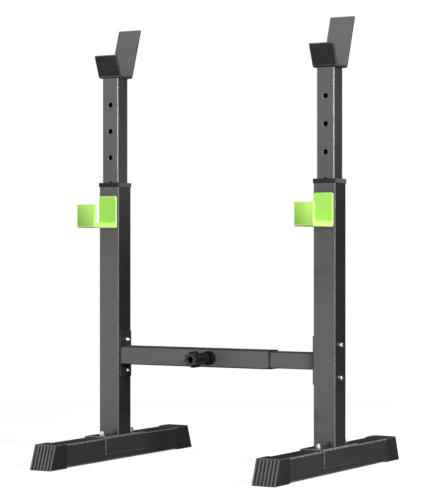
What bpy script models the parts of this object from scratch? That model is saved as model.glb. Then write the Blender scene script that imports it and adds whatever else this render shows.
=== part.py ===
"""Adjustable bench press rack: two uprights with bar cups, on long feet, joined by a telescopic beam.

Metres, +Z up. X runs along the beam, the feet lie along Y, and the lifter is on the -Y side. The
origin is on the floor, midway between the uprights. Each side is built round an empty that stands on
the floor under its upright, so its pieces are placed in that side's own frame.
"""

import math

import bmesh
import bpy
from mathutils import Matrix, Vector

# Fits between neighbouring pieces
GAP = 0.0003
SLIDING_GAP = 0.0004
BOLT_CLEARANCE = 0.0004

# Whole rack
UPRIGHT_SPACING = 0.530
TUBE_WALL = 0.0015

# Feet
FOOT_TUBE_SIZE = 0.050
FOOT_TUBE_RADIUS = 0.003
FOOT_TUBE_LENGTH = 0.524
FOOT_CAP_WALL = 0.0013
FOOT_CAP_LAP = 0.037
FOOT_CAP_NOSE = 0.025
FOOT_CAP_SLANT = 0.0195
FOOT_CAP_RADIUS = 0.0025
FOOT_CAP_RIBS = 7
FOOT_CAP_GROOVE_DEPTH = 0.0035

# Saddle that joins an upright to its foot
SADDLE_THICKNESS = 0.003
SADDLE_LENGTH = 0.160
SADDLE_SKIRT = 0.039
SADDLE_RADIUS = 0.004
SADDLE_BOLT_FRONT = 0.051
SADDLE_BOLT_REAR = 0.064

# Outer upright and its collar
UPRIGHT_SIZE = 0.050
UPRIGHT_RADIUS = 0.003
UPRIGHT_LENGTH = 0.545
COLLAR_OVERHANG = 0.0015
COLLAR_THICKNESS = 0.008
COLLAR_SLEEVE = 0.030
COLLAR_RADIUS = 0.004

# Inner upright, its holes and its lower guide
POST_SIZE = 0.040
POST_RADIUS = 0.0025
POST_LENGTH = 0.390
HOLE_PITCH = 0.058
HOLE_DIAMETER = 0.012
HOLE_COUNT = 6
LOWEST_HOLE = 0.041
HOLE_IN_USE = 1
GUIDE_THICKNESS = 0.004
GUIDE_SPIGOT = 0.014

# Height pin, an L-shaped rod drawn back until its nose just clears the inner upright
PIN_DROP = 0.0527
PIN_DIAMETER = 0.010
PIN_TRAVEL = 0.011
PIN_BEND_RADIUS = 0.007
PIN_HANDLE = 0.028
PIN_BEND_STEPS = 6
PIN_BOSS_DIAMETER = 0.018
PIN_BOSS_LENGTH = 0.006

# Bar cup, a bent plate welded on the inner upright
CUP_WIDTH = 0.056
CUP_THICKNESS = 0.005
CUP_BASE = 0.0487
CUP_SETBACK = 0.002
CUP_FLAP = 0.051
CUP_FLAP_LEAN = math.radians(21.0)
CUP_BACK = 0.1165
CUP_BACK_LEAN = math.radians(18.5)
CUP_BEND_RADIUS = 0.0075
CUP_BEND_STEPS = 5
CUP_EDGE_RADIUS = 0.0008

# Lower bar hook, a moulded J on the front of the outer upright
HOOK_DROP = 0.0212
HOOK_WIDTH = 0.044
HOOK_REACH = 0.0917
HOOK_PLATE_HEIGHT = 0.0704
HOOK_PLATE_THICKNESS = 0.006
HOOK_SHELF_THICKNESS = 0.011
HOOK_FLAP_HEIGHT = 0.0504
HOOK_FLAP_THICKNESS = 0.0097
HOOK_INNER_RADIUS = 0.003
HOOK_OUTER_RADIUS = 0.004
HOOK_EDGE_RADIUS = 0.002
HOOK_CORNER_STEPS = 3

# Telescopic beam
BEAM_HEIGHT = 0.2297
BEAM_OUTER_SIZE = 0.040
BEAM_OUTER_RADIUS = 0.0025
BEAM_OUTER_WALL = 0.0012
BEAM_OUTER_LENGTH = 0.368
BEAM_BUSH_WALL = 0.0006
BEAM_INNER_SIZE = BEAM_OUTER_SIZE - 2 * (BEAM_OUTER_WALL + GAP + BEAM_BUSH_WALL + SLIDING_GAP)
BEAM_INNER_RADIUS = 0.002
BEAM_INNER_LENGTH = 0.366
BEAM_BUSH_FLANGE = 0.0015
BEAM_BUSH_SLEEVE = 0.030
BEAM_GUIDE_THICKNESS = 0.003
BEAM_GUIDE_SPIGOT = 0.014

# Bracket plates at the beam's ends
BRACKET_THICKNESS = 0.003
BRACKET_DEPTH = 0.044
BRACKET_HEIGHT = 0.102
BRACKET_RISE = 0.0025
BRACKET_RADIUS = 0.003
BRACKET_BOLT_SPACING = 0.068

# Clamp screw and star knob on the front of the beam
CLAMP_SETBACK = 0.1435
CLAMP_BOSS_DIAMETER = 0.030
CLAMP_BOSS_LENGTH = 0.011
CLAMP_SCREW_DIAMETER = 0.010
CLAMP_SCREW_NECK = 0.0085
KNOB_HUB_DIAMETER = 0.025
KNOB_HUB_LENGTH = 0.026
KNOB_HEAD_DIAMETER = 0.0345
KNOB_HEAD_LENGTH = 0.0355
KNOB_LOBES = 8
KNOB_LOBE_DEPTH = 0.0045
KNOB_LOBE_TURN = math.radians(10.0)
KNOB_RECESS_DIAMETER = 0.013
KNOB_RECESS_DEPTH = 0.006
KNOB_BORE_DEPTH = 0.040
KNOB_EDGE_RADIUS = 0.0015

# Hexagon bolts and nuts
BOLT_DIAMETER = 0.006
HEX_ACROSS_FLATS = 0.010
HEX_HEAD_HEIGHT = 0.0045
NUT_HEIGHT = 0.0065
NUT_FLANGE_DIAMETER = 0.0142
NUT_FLANGE_HEIGHT = 0.0016
BOLT_END = 0.0005
HEX_EDGE_RADIUS = 0.0006

# Facets
TUBE_CORNER_STEPS = 3
ROUND_STEPS = 24
KNOB_STEPS = 64
CUTTER_REACH = 0.002

# Heights that follow from the sizes above
FOOT_CAP_SIZE = FOOT_TUBE_SIZE + 2 * (GAP + FOOT_CAP_WALL)
FOOT_AXIS_Z = FOOT_CAP_SIZE / 2
FOOT_TOP = FOOT_AXIS_Z + FOOT_TUBE_SIZE / 2
SADDLE_TOP = FOOT_TOP + GAP + SADDLE_THICKNESS
UPRIGHT_FOOT = SADDLE_TOP + GAP
UPRIGHT_TOP = UPRIGHT_FOOT + UPRIGHT_LENGTH
PIN_Z = UPRIGHT_TOP - PIN_DROP
POST_FOOT = PIN_Z - LOWEST_HOLE - HOLE_IN_USE * HOLE_PITCH
POST_TOP = POST_FOOT + POST_LENGTH
BOLT_HEIGHTS = {
    "upper": BEAM_HEIGHT + BRACKET_BOLT_SPACING / 2,
    "lower": BEAM_HEIGHT - BRACKET_BOLT_SPACING / 2,
}
SADDLE_BOLTS = {"front": -SADDLE_BOLT_FRONT, "rear": SADDLE_BOLT_REAR}
BRACKET_FACE = UPRIGHT_SPACING / 2 - UPRIGHT_SIZE / 2 - GAP - BRACKET_THICKNESS
BEAM_MOUTH_X = -(BRACKET_FACE - GAP) + BEAM_OUTER_LENGTH

COLLECTIONS = {}
FINISHES = {}


def start_scene():
    """Empties the scene and makes the collections for the pieces and for their cutters."""
    for obj in list(bpy.data.objects):
        bpy.data.objects.remove(obj, do_unlink=True)
    for key, name in (("pieces", "Bench press rack"), ("cutters", "Cutters")):
        collection = bpy.data.collections.new(name)
        bpy.context.scene.collection.children.link(collection)
        COLLECTIONS[key] = collection


def add_finish(key, color, roughness, metallic=0.0):
    """Keeps a Principled colour, roughness and metallic value under a short name."""
    FINISHES[key] = (color, roughness, metallic)


def material_for(name, key):
    """Makes a piece's own material from a named finish."""
    color, roughness, metallic = FINISHES[key]
    material = bpy.data.materials.new(name)
    material.use_nodes = True
    shader = material.node_tree.nodes["Principled BSDF"]
    shader.inputs["Base Color"].default_value = (*color, 1.0)
    shader.inputs["Roughness"].default_value = roughness
    shader.inputs["Metallic"].default_value = metallic
    return material


def add_empty(name, location, parent=None):
    """An empty that carries the pieces which stay or move together."""
    empty = bpy.data.objects.new(name, None)
    empty.location = location
    empty.parent = parent
    COLLECTIONS["pieces"].objects.link(empty)
    return empty


def add_piece(name, bm, parent, location, finish, rotation=(0.0, 0.0, 0.0)):
    """Makes a node from a bmesh, with its own material, shaded smooth between sharp edges."""
    mesh = bpy.data.meshes.new(name)
    bm.to_mesh(mesh)
    bm.free()
    mesh.shade_smooth()
    mesh.set_sharp_from_angle(angle=math.radians(35.0))
    piece = bpy.data.objects.new(name, mesh)
    piece.parent = parent
    piece.location = location
    piece.rotation_euler = rotation
    piece.data.materials.append(material_for(name, finish))
    COLLECTIONS["pieces"].objects.link(piece)
    return piece


def add_tool(name, bm, owner):
    """Makes a hidden cutter, or a shape to be joined on, in its owner's own frame."""
    mesh = bpy.data.meshes.new(name)
    bm.to_mesh(mesh)
    bm.free()
    tool = bpy.data.objects.new(name, mesh)
    tool.parent = owner
    tool.hide_render = True
    tool.display_type = "WIRE"
    COLLECTIONS["cutters"].objects.link(tool)
    return tool


def cut(piece, bm, label):
    """Cuts a shape out of a piece."""
    modifier = piece.modifiers.new(label, "BOOLEAN")
    modifier.operation = "DIFFERENCE"
    modifier.object = add_tool(f"{piece.name}_{label}", bm, piece)


def join(piece, bm, label):
    """Joins a shape onto a piece as one body."""
    modifier = piece.modifiers.new(label, "BOOLEAN")
    modifier.operation = "UNION"
    modifier.object = add_tool(f"{piece.name}_{label}", bm, piece)


def round_edges(piece, radius, steps, angle=35.0):
    """Rounds a piece's sharp edges."""
    modifier = piece.modifiers.new("rounded edges", "BEVEL")
    modifier.width = radius
    modifier.segments = steps
    modifier.limit_method = "ANGLE"
    modifier.angle_limit = math.radians(angle)


def add_wall(piece, thickness):
    """Gives an open surface its wall, on the side its faces point away from."""
    modifier = piece.modifiers.new("wall", "SOLIDIFY")
    modifier.thickness = thickness
    modifier.offset = -1.0
    modifier.use_even_offset = True


def box(size, centre=(0.0, 0.0, 0.0), radius=0.0, along=2, steps=TUBE_CORNER_STEPS):
    """A box with its four edges along one axis rounded."""
    bm = bmesh.new()
    bmesh.ops.create_cube(bm, size=1.0)
    bmesh.ops.scale(bm, vec=size, verts=bm.verts)
    if radius > 0.0:
        lengthwise = [
            edge for edge in bm.edges
            if abs((edge.verts[1].co - edge.verts[0].co)[along]) > size[along] / 2]
        bmesh.ops.bevel(bm, geom=lengthwise, offset=radius, segments=steps, profile=0.5, affect="EDGES")
    bmesh.ops.translate(bm, vec=centre, verts=bm.verts)
    return bm


def square_bar(size, low, high, radius):
    """A square bar with rounded corners, upright from one height to another."""
    return box((size, size, high - low), (0.0, 0.0, (low + high) / 2), radius)


def merge(*shapes):
    """Puts several separate shapes in one bmesh."""
    merged = bmesh.new()
    for shape in shapes:
        carrier = bpy.data.meshes.new("carrier")
        shape.to_mesh(carrier)
        shape.free()
        merged.from_mesh(carrier)
        bpy.data.meshes.remove(carrier)
    return merged


def cylinder(diameter, start, end, steps=ROUND_STEPS):
    """A solid cylinder from one point to another."""
    start = Vector(start)
    axis = Vector(end) - start
    turn = axis.to_track_quat("Z", "Y").to_matrix().to_4x4()
    bm = bmesh.new()
    bmesh.ops.create_cone(
        bm, cap_ends=True, segments=steps, radius1=diameter / 2, radius2=diameter / 2, depth=axis.length,
        matrix=Matrix.Translation(start + axis / 2) @ turn)
    return bm


def hexagon(across_flats, low, high):
    """An upright hexagonal prism from one height to another."""
    corner_diameter = across_flats / math.cos(math.pi / 6)
    return cylinder(corner_diameter, (0.0, 0.0, low), (0.0, 0.0, high), steps=6)


def square_tube(
        name, parent, location, size, radius, length, finish, rotation=(0.0, 0.0, 0.0), wall=TUBE_WALL):
    """A square tube that starts at its own origin and runs along its local Z."""
    bm = square_bar(size, 0.0, length, radius)
    ends = [face for face in bm.faces if abs(face.normal.z) > 0.9]
    bmesh.ops.delete(bm, geom=ends, context="FACES_ONLY")
    tube = add_piece(name, bm, parent, location, finish, rotation)
    add_wall(tube, wall)
    return tube


def rounded_path(corners, radius, steps, closed=False):
    """The points of a path with its corners rounded to one radius."""
    points = []
    count = len(corners)
    for index, corner in enumerate(corners):
        at = Vector(corner)
        if not closed and index in (0, count - 1):
            points.append(at)
            continue
        back = (Vector(corners[index - 1]) - at).normalized()
        ahead = (Vector(corners[(index + 1) % count]) - at).normalized()
        half = back.angle(ahead) / 2
        centre = at + (back + ahead).normalized() * radius / math.sin(half)
        first = (at + back * radius / math.tan(half) - centre).normalized()
        last = (at + ahead * radius / math.tan(half) - centre).normalized()
        for step in range(steps + 1):
            points.append(centre + radius * first.slerp(last, step / steps))
    return points


def bent_plate(name, parent, location, width, path, thickness, finish):
    """A plate bent along a path in the YZ plane; the path is its outer side."""
    bm = bmesh.new()
    edge = bm.edges.new([bm.verts.new((side * width / 2, *path[0])) for side in (-1, 1)])
    for here, there in zip(path, path[1:]):
        grown = bmesh.ops.extrude_edge_only(bm, edges=[edge])["geom"]
        ends = [item for item in grown if isinstance(item, bmesh.types.BMVert)]
        bmesh.ops.translate(bm, vec=(0.0, *(there - here)), verts=ends)
        edge = next(
            item for item in grown
            if isinstance(item, bmesh.types.BMEdge) and all(vert in ends for vert in item.verts))
    bmesh.ops.recalc_face_normals(bm, faces=bm.faces)
    if sum(face.normal.z for face in bm.faces) > 0:
        bmesh.ops.reverse_faces(bm, faces=bm.faces)
    plate = add_piece(name, bm, parent, location, finish)
    add_wall(plate, thickness)
    return plate


def build_foot(side, frame):
    """The foot: a square tube along Y with a ribbed slanted cap on each end."""
    tube = square_tube(
        f"{side}_foot_tube", frame, (0.0, -FOOT_TUBE_LENGTH / 2, FOOT_AXIS_Z), FOOT_TUBE_SIZE,
        FOOT_TUBE_RADIUS, FOOT_TUBE_LENGTH, "powder_coat", rotation=(-math.pi / 2, 0.0, 0.0))
    hole = BOLT_DIAMETER + 2 * BOLT_CLEARANCE
    inner_top = FOOT_TUBE_SIZE / 2 - TUBE_WALL
    bores = [
        cylinder(hole, (0.0, -inner_top + CUTTER_REACH, FOOT_TUBE_LENGTH / 2 + y),
                 (0.0, -FOOT_TUBE_SIZE / 2 - CUTTER_REACH, FOOT_TUBE_LENGTH / 2 + y))
        for y in SADDLE_BOLTS.values()]
    cut(tube, merge(*bores), "bolt_holes")
    for end, turn in (("front", math.pi), ("rear", 0.0)):
        build_foot_cap(f"{side}_foot_cap_{end}", frame, turn)


def build_foot_cap(name, frame, turn):
    """A moulded cap: its end face leans back as it rises and carries upright ribs."""
    mouth = FOOT_TUBE_LENGTH / 2 - FOOT_CAP_LAP
    length = FOOT_CAP_LAP + FOOT_CAP_NOSE
    bm = box(
        (FOOT_CAP_SIZE, length, FOOT_CAP_SIZE), (0.0, mouth + length / 2, FOOT_AXIS_Z), FOOT_CAP_RADIUS,
        along=1)
    for vert in bm.verts:
        if vert.co.y > mouth + length / 2:
            vert.co.y -= FOOT_CAP_SLANT * vert.co.z / FOOT_CAP_SIZE
    cap = add_piece(name, bm, frame, (0.0, 0.0, 0.0), "moulded_black", (0.0, 0.0, turn))
    bore = FOOT_TUBE_SIZE + 2 * GAP
    bore_end = FOOT_TUBE_LENGTH / 2 + GAP
    bore_length = bore_end - mouth + CUTTER_REACH
    cut(cap, box((bore, bore_length, bore), (0.0, bore_end - bore_length / 2, FOOT_AXIS_Z),
                 FOOT_TUBE_RADIUS, along=1), "bore")
    lean = math.atan(FOOT_CAP_SLANT / FOOT_CAP_SIZE)
    tip = mouth + length
    rib = FOOT_CAP_SIZE / (2 * FOOT_CAP_RIBS - 1)
    turn_to_face = Matrix.Translation((0.0, tip, 0.0)) @ Matrix.Rotation(lean, 4, "X")
    grooves = []
    for index in range(FOOT_CAP_RIBS - 1):
        x = (2 * index + 1.5) * rib - FOOT_CAP_SIZE / 2
        groove = box((rib, 2 * FOOT_CAP_GROOVE_DEPTH, 3 * FOOT_CAP_SIZE), (x, 0.0, 0.0))
        bmesh.ops.transform(groove, matrix=turn_to_face, verts=groove.verts)
        grooves.append(groove)
    cut(cap, merge(*grooves), "grooves")
    return cap


def build_saddle(side, frame):
    """The inverted U over the foot that the upright is welded to, with its two bolts and flange nuts."""
    outer = FOOT_TUBE_SIZE + 2 * (GAP + SADDLE_THICKNESS)
    bm = box((outer, SADDLE_LENGTH, SADDLE_SKIRT), (0.0, 0.0, SADDLE_TOP - SADDLE_SKIRT / 2))
    open_faces = [face for face in bm.faces if abs(face.normal.y) > 0.9 or face.normal.z < -0.9]
    bmesh.ops.delete(bm, geom=open_faces, context="FACES_ONLY")
    shoulders = [edge for edge in bm.edges if len(edge.link_faces) == 2]
    bmesh.ops.bevel(
        bm, geom=shoulders, offset=SADDLE_RADIUS, segments=TUBE_CORNER_STEPS, profile=0.5, affect="EDGES")
    loose = [edge for edge in bm.edges if not edge.link_faces]
    bmesh.ops.delete(bm, geom=loose, context="EDGES")
    saddle = add_piece(f"{side}_saddle", bm, frame, (0.0, 0.0, 0.0), "powder_coat")
    add_wall(saddle, SADDLE_THICKNESS)
    hole = BOLT_DIAMETER + 2 * BOLT_CLEARANCE
    bores = [
        cylinder(hole, (0.0, y, FOOT_TOP - CUTTER_REACH), (0.0, y, SADDLE_TOP + CUTTER_REACH))
        for y in SADDLE_BOLTS.values()]
    cut(saddle, merge(*bores), "bolt_holes")
    head_top = FOOT_TOP - TUBE_WALL - GAP
    tip = SADDLE_TOP + GAP + NUT_FLANGE_HEIGHT + NUT_HEIGHT + BOLT_END
    for end, y in SADDLE_BOLTS.items():
        build_bolt(f"{side}_saddle_bolt_{end}", frame, (0.0, y, head_top), tip - head_top)
        build_nut(f"{side}_saddle_nut_{end}", frame, (0.0, y, SADDLE_TOP + GAP), flange=True)


def build_bolt(name, frame, location, length, rotation=(0.0, 0.0, 0.0)):
    """A hexagon bolt whose head ends at its origin and whose shank runs along its local +Z."""
    head = hexagon(HEX_ACROSS_FLATS, -HEX_HEAD_HEIGHT, 0.0)
    bolt = add_piece(name, head, frame, location, "zinc", rotation)
    round_edges(bolt, HEX_EDGE_RADIUS, 1)
    sunk = -HEX_HEAD_HEIGHT / 2
    join(bolt, cylinder(BOLT_DIAMETER, (0.0, 0.0, sunk), (0.0, 0.0, length)), "shank")
    return bolt


def build_nut(name, frame, location, flange=False, rotation=(0.0, 0.0, 0.0)):
    """A hexagon nut that stands on its origin, with or without a round flange under it."""
    base = NUT_FLANGE_HEIGHT if flange else 0.0
    top = base + NUT_HEIGHT
    nut = add_piece(name, hexagon(HEX_ACROSS_FLATS, base / 2, top), frame, location, "zinc", rotation)
    round_edges(nut, HEX_EDGE_RADIUS, 1)
    if flange:
        join(nut, cylinder(NUT_FLANGE_DIAMETER, (0.0, 0.0, 0.0), (0.0, 0.0, base)), "flange")
    bore = BOLT_DIAMETER + 2 * GAP
    cut(nut, cylinder(bore, (0.0, 0.0, -CUTTER_REACH), (0.0, 0.0, top + CUTTER_REACH)), "bore")
    return nut


def build_upright(side, frame):
    """The outer upright with its holes for the bracket bolts and the height pin."""
    upright = square_tube(
        f"{side}_outer_upright", frame, (0.0, 0.0, UPRIGHT_FOOT), UPRIGHT_SIZE, UPRIGHT_RADIUS,
        UPRIGHT_LENGTH, "powder_coat")
    reach = UPRIGHT_SIZE / 2 + CUTTER_REACH
    hole = BOLT_DIAMETER + 2 * BOLT_CLEARANCE
    bores = [
        cylinder(hole, (-reach, 0.0, z - UPRIGHT_FOOT), (reach, 0.0, z - UPRIGHT_FOOT))
        for z in BOLT_HEIGHTS.values()]
    pin_height = PIN_Z - UPRIGHT_FOOT
    bores.append(cylinder(HOLE_DIAMETER, (0.0, 0.0, pin_height), (0.0, reach, pin_height)))
    cut(upright, merge(*bores), "holes")


def build_collar(side, frame):
    """The moulded collar that guides the inner upright: a square flange over a thin sleeve."""
    flange_low = UPRIGHT_TOP + GAP
    top = flange_low + COLLAR_THICKNESS
    flange_size = UPRIGHT_SIZE + 2 * COLLAR_OVERHANG
    collar = add_piece(
        f"{side}_collar", square_bar(flange_size, 0.0, COLLAR_THICKNESS, COLLAR_RADIUS), frame,
        (0.0, 0.0, flange_low), "moulded_black")
    sleeve_size = UPRIGHT_SIZE - 2 * (TUBE_WALL + GAP)
    sleeve_radius = UPRIGHT_RADIUS - TUBE_WALL
    join(collar, square_bar(sleeve_size, -COLLAR_SLEEVE, COLLAR_THICKNESS / 2, sleeve_radius), "sleeve")
    bore_size = POST_SIZE + 2 * SLIDING_GAP
    cut(collar, square_bar(bore_size, -COLLAR_SLEEVE - CUTTER_REACH, top, POST_RADIUS), "bore")


def build_post(side, slide):
    """The inner upright with its row of holes, and the moulded guide that plugs its lower end."""
    post = square_tube(
        f"{side}_inner_upright", slide, (0.0, 0.0, 0.0), POST_SIZE, POST_RADIUS, POST_LENGTH, "powder_coat")
    reach = POST_SIZE / 2 + CUTTER_REACH
    bores = []
    for index in range(HOLE_COUNT):
        z = LOWEST_HOLE + index * HOLE_PITCH
        bores.append(cylinder(HOLE_DIAMETER, (0.0, -reach, z), (0.0, reach, z)))
    cut(post, merge(*bores), "holes")
    guide_size = UPRIGHT_SIZE - 2 * (TUBE_WALL + SLIDING_GAP)
    flange = square_bar(guide_size, -GAP - GUIDE_THICKNESS, -GAP, UPRIGHT_RADIUS - TUBE_WALL)
    guide = add_piece(f"{side}_post_guide", flange, slide, (0.0, 0.0, 0.0), "moulded_black")
    spigot_size = POST_SIZE - 2 * (TUBE_WALL + GAP)
    spigot = square_bar(spigot_size, -GAP - GUIDE_THICKNESS / 2, GUIDE_SPIGOT, POST_RADIUS - TUBE_WALL)
    join(guide, spigot, "spigot")


def build_cup(side, slide):
    """The bar cup: short flap in front, flat base on the upright, tall back plate behind."""
    front = -CUP_BASE / 2 + CUP_SETBACK
    rear = CUP_BASE / 2 + CUP_SETBACK
    corners = [
        (front - CUP_FLAP * math.sin(CUP_FLAP_LEAN), CUP_FLAP * math.cos(CUP_FLAP_LEAN)),
        (front, 0.0),
        (rear, 0.0),
        (rear + CUP_BACK * math.sin(CUP_BACK_LEAN), CUP_BACK * math.cos(CUP_BACK_LEAN)),
    ]
    path = rounded_path(corners, CUP_BEND_RADIUS, CUP_BEND_STEPS)
    cup = bent_plate(
        f"{side}_bar_cup", slide, (0.0, 0.0, POST_LENGTH + GAP), CUP_WIDTH, path, CUP_THICKNESS,
        "powder_coat")
    round_edges(cup, CUP_EDGE_RADIUS, 1, angle=60.0)


def build_hook(side, frame):
    """The green J-shaped bar hook, an outline in the YZ plane given its width along X."""
    back = 0.0
    front = -HOOK_REACH
    floor = HOOK_PLATE_HEIGHT - HOOK_SHELF_THICKNESS
    flap_top = HOOK_PLATE_HEIGHT - HOOK_FLAP_HEIGHT
    plate_face = back - HOOK_PLATE_THICKNESS
    flap_face = front + HOOK_FLAP_THICKNESS
    outer_low = [(back, -HOOK_PLATE_HEIGHT), (front, -HOOK_PLATE_HEIGHT)]
    inner_low = [(flap_face, -floor), (plate_face, -floor)]
    outer = [(back, 0.0), *outer_low, (front, -flap_top)]
    inner = [(flap_face, -flap_top), *inner_low, (plate_face, 0.0)]
    outline = rounded_path(outer, HOOK_OUTER_RADIUS, HOOK_CORNER_STEPS)
    outline += rounded_path(inner, HOOK_INNER_RADIUS, HOOK_CORNER_STEPS)
    curve = bpy.data.curves.new(f"{side}_bar_hook", "CURVE")
    curve.dimensions = "2D"
    curve.fill_mode = "BOTH"
    curve.extrude = HOOK_WIDTH / 2
    spline = curve.splines.new("POLY")
    spline.points.add(len(outline) - 1)
    for point, (y, z) in zip(spline.points, outline):
        point.co = (y, z, 0.0, 1.0)
    spline.use_cyclic_u = True
    hook = bpy.data.objects.new(f"{side}_bar_hook", curve)
    hook.parent = frame
    hook.location = (0.0, -UPRIGHT_SIZE / 2 - GAP, UPRIGHT_TOP - HOOK_DROP)
    hook.rotation_euler = Matrix(((0, 0, 1), (1, 0, 0), (0, 1, 0))).to_euler()
    curve.materials.append(material_for(hook.name, "green_coat"))
    COLLECTIONS["pieces"].objects.link(hook)
    weld = hook.modifiers.new("weld", "WELD")
    weld.merge_threshold = 0.00001
    round_edges(hook, HOOK_EDGE_RADIUS, 2, angle=50.0)


def build_height_pin(side, frame):
    """The weld boss behind the upright and the L-shaped pin that slides in it."""
    face = UPRIGHT_SIZE / 2 + GAP
    boss_end = face + PIN_BOSS_LENGTH
    boss = add_piece(
        f"{side}_pin_boss", cylinder(PIN_BOSS_DIAMETER, (0.0, 0.0, 0.0), (0.0, PIN_BOSS_LENGTH, 0.0)), frame,
        (0.0, face, PIN_Z), "powder_coat")
    round_edges(boss, HEX_EDGE_RADIUS, 1, angle=60.0)
    bore = PIN_DIAMETER + 2 * SLIDING_GAP
    cut(boss, cylinder(bore, (0.0, -CUTTER_REACH, 0.0), (0.0, PIN_BOSS_LENGTH + CUTTER_REACH, 0.0)), "bore")
    nose = POST_SIZE / 2 + SLIDING_GAP
    bend = boss_end + PIN_TRAVEL
    handle = bend + PIN_BEND_RADIUS
    corners = [(nose, 0.0), (handle, 0.0), (handle, -PIN_BEND_RADIUS - PIN_HANDLE)]
    path = rounded_path(corners, PIN_BEND_RADIUS, PIN_BEND_STEPS)
    curve = bpy.data.curves.new(f"{side}_height_pin", "CURVE")
    curve.dimensions = "3D"
    curve.bevel_depth = PIN_DIAMETER / 2
    curve.bevel_resolution = 3
    curve.use_fill_caps = True
    spline = curve.splines.new("POLY")
    spline.points.add(len(path) - 1)
    for point, (y, z) in zip(spline.points, path):
        point.co = (0.0, y, z, 1.0)
    pin = bpy.data.objects.new(f"{side}_height_pin", curve)
    pin.parent = frame
    pin.location = (0.0, 0.0, PIN_Z)
    curve.materials.append(material_for(pin.name, "zinc"))
    COLLECTIONS["pieces"].objects.link(pin)


def build_bracket(side, inward, frame):
    """The plate at a beam end, bolted through the upright; inward is the X direction towards the beam."""
    face = UPRIGHT_SIZE / 2 + GAP
    centre_z = BEAM_HEIGHT + BRACKET_RISE
    plate = box(
        (BRACKET_THICKNESS, BRACKET_DEPTH, BRACKET_HEIGHT),
        (inward * (face + BRACKET_THICKNESS / 2), 0.0, centre_z), BRACKET_RADIUS, along=0)
    bracket = add_piece(f"{side}_bracket", plate, frame, (0.0, 0.0, 0.0), "powder_coat")
    hole = BOLT_DIAMETER + 2 * BOLT_CLEARANCE
    far = face + BRACKET_THICKNESS + CUTTER_REACH
    bores = [cylinder(hole, (0.0, 0.0, z), (inward * far, 0.0, z)) for z in BOLT_HEIGHTS.values()]
    cut(bracket, merge(*bores), "bolt_holes")
    turn = (0.0, inward * math.pi / 2, 0.0)
    nut_face = face + BRACKET_THICKNESS + GAP
    length = face + nut_face + NUT_HEIGHT + BOLT_END
    for label, z in BOLT_HEIGHTS.items():
        build_bolt(f"{side}_bracket_bolt_{label}", frame, (-inward * face, 0.0, z), length, turn)
        build_nut(f"{side}_bracket_nut_{label}", frame, (inward * nut_face, 0.0, z), rotation=turn)


def build_beam(left, right):
    """The telescopic beam: outer tube on the left bracket, inner tube on the right one."""
    along_x = (0.0, math.pi / 2, 0.0)
    half = UPRIGHT_SPACING / 2
    start = -(BRACKET_FACE - GAP)
    outer = square_tube(
        "beam_outer_tube", left, (start + half, 0.0, BEAM_HEIGHT), BEAM_OUTER_SIZE, BEAM_OUTER_RADIUS,
        BEAM_OUTER_LENGTH, "powder_coat", along_x, BEAM_OUTER_WALL)
    screw_at = BEAM_OUTER_LENGTH - CLAMP_SETBACK
    hole = CLAMP_SCREW_DIAMETER + 2 * SLIDING_GAP
    front = -BEAM_OUTER_SIZE / 2 - CUTTER_REACH
    cut(outer, cylinder(hole, (0.0, front, screw_at), (0.0, front / 2, screw_at)), "screw_hole")
    inner_end = BRACKET_FACE - GAP
    square_tube(
        "beam_inner_tube", right, (inner_end - BEAM_INNER_LENGTH - half, 0.0, BEAM_HEIGHT), BEAM_INNER_SIZE,
        BEAM_INNER_RADIUS, BEAM_INNER_LENGTH, "powder_coat", along_x)
    bush = add_piece(
        "beam_bush", square_bar(BEAM_OUTER_SIZE, GAP, GAP + BEAM_BUSH_FLANGE, BEAM_OUTER_RADIUS), left,
        (BEAM_MOUTH_X + half, 0.0, BEAM_HEIGHT), "moulded_black", along_x)
    sleeve_size = BEAM_OUTER_SIZE - 2 * (BEAM_OUTER_WALL + GAP)
    hollow_radius = BEAM_OUTER_RADIUS - BEAM_OUTER_WALL
    sleeve = square_bar(sleeve_size, -BEAM_BUSH_SLEEVE, GAP + BEAM_BUSH_FLANGE / 2, hollow_radius)
    join(bush, sleeve, "sleeve")
    bore_size = BEAM_INNER_SIZE + 2 * SLIDING_GAP
    bore_start = -BEAM_BUSH_SLEEVE - CUTTER_REACH
    bore_end = GAP + BEAM_BUSH_FLANGE + CUTTER_REACH
    cut(bush, square_bar(bore_size, bore_start, bore_end, BEAM_INNER_RADIUS), "bore")
    guide_size = BEAM_OUTER_SIZE - 2 * (BEAM_OUTER_WALL + SLIDING_GAP)
    guide = add_piece(
        "beam_guide", square_bar(guide_size, -GAP - BEAM_GUIDE_THICKNESS, -GAP, hollow_radius), right,
        (inner_end - BEAM_INNER_LENGTH - half, 0.0, BEAM_HEIGHT), "moulded_black", along_x)
    spigot_size = BEAM_INNER_SIZE - 2 * (TUBE_WALL + GAP)
    spigot = square_bar(
        spigot_size, -GAP - BEAM_GUIDE_THICKNESS / 2, BEAM_GUIDE_SPIGOT, BEAM_INNER_RADIUS - TUBE_WALL)
    join(guide, spigot, "spigot")


def lobed_cylinder(diameter, low, high, lobes, depth):
    """A cylinder along Z whose side comes to pointed lobes, with round valleys between them."""
    bm = cylinder(diameter, (0.0, 0.0, low), (0.0, 0.0, high), KNOB_STEPS)
    for vert in bm.verts:
        angle = math.atan2(vert.co.y, vert.co.x)
        radius = diameter / 2 - depth * abs(math.sin(lobes * angle / 2))
        angle += KNOB_LOBE_TURN
        vert.co.x = radius * math.cos(angle)
        vert.co.y = radius * math.sin(angle)
    return bm


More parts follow.
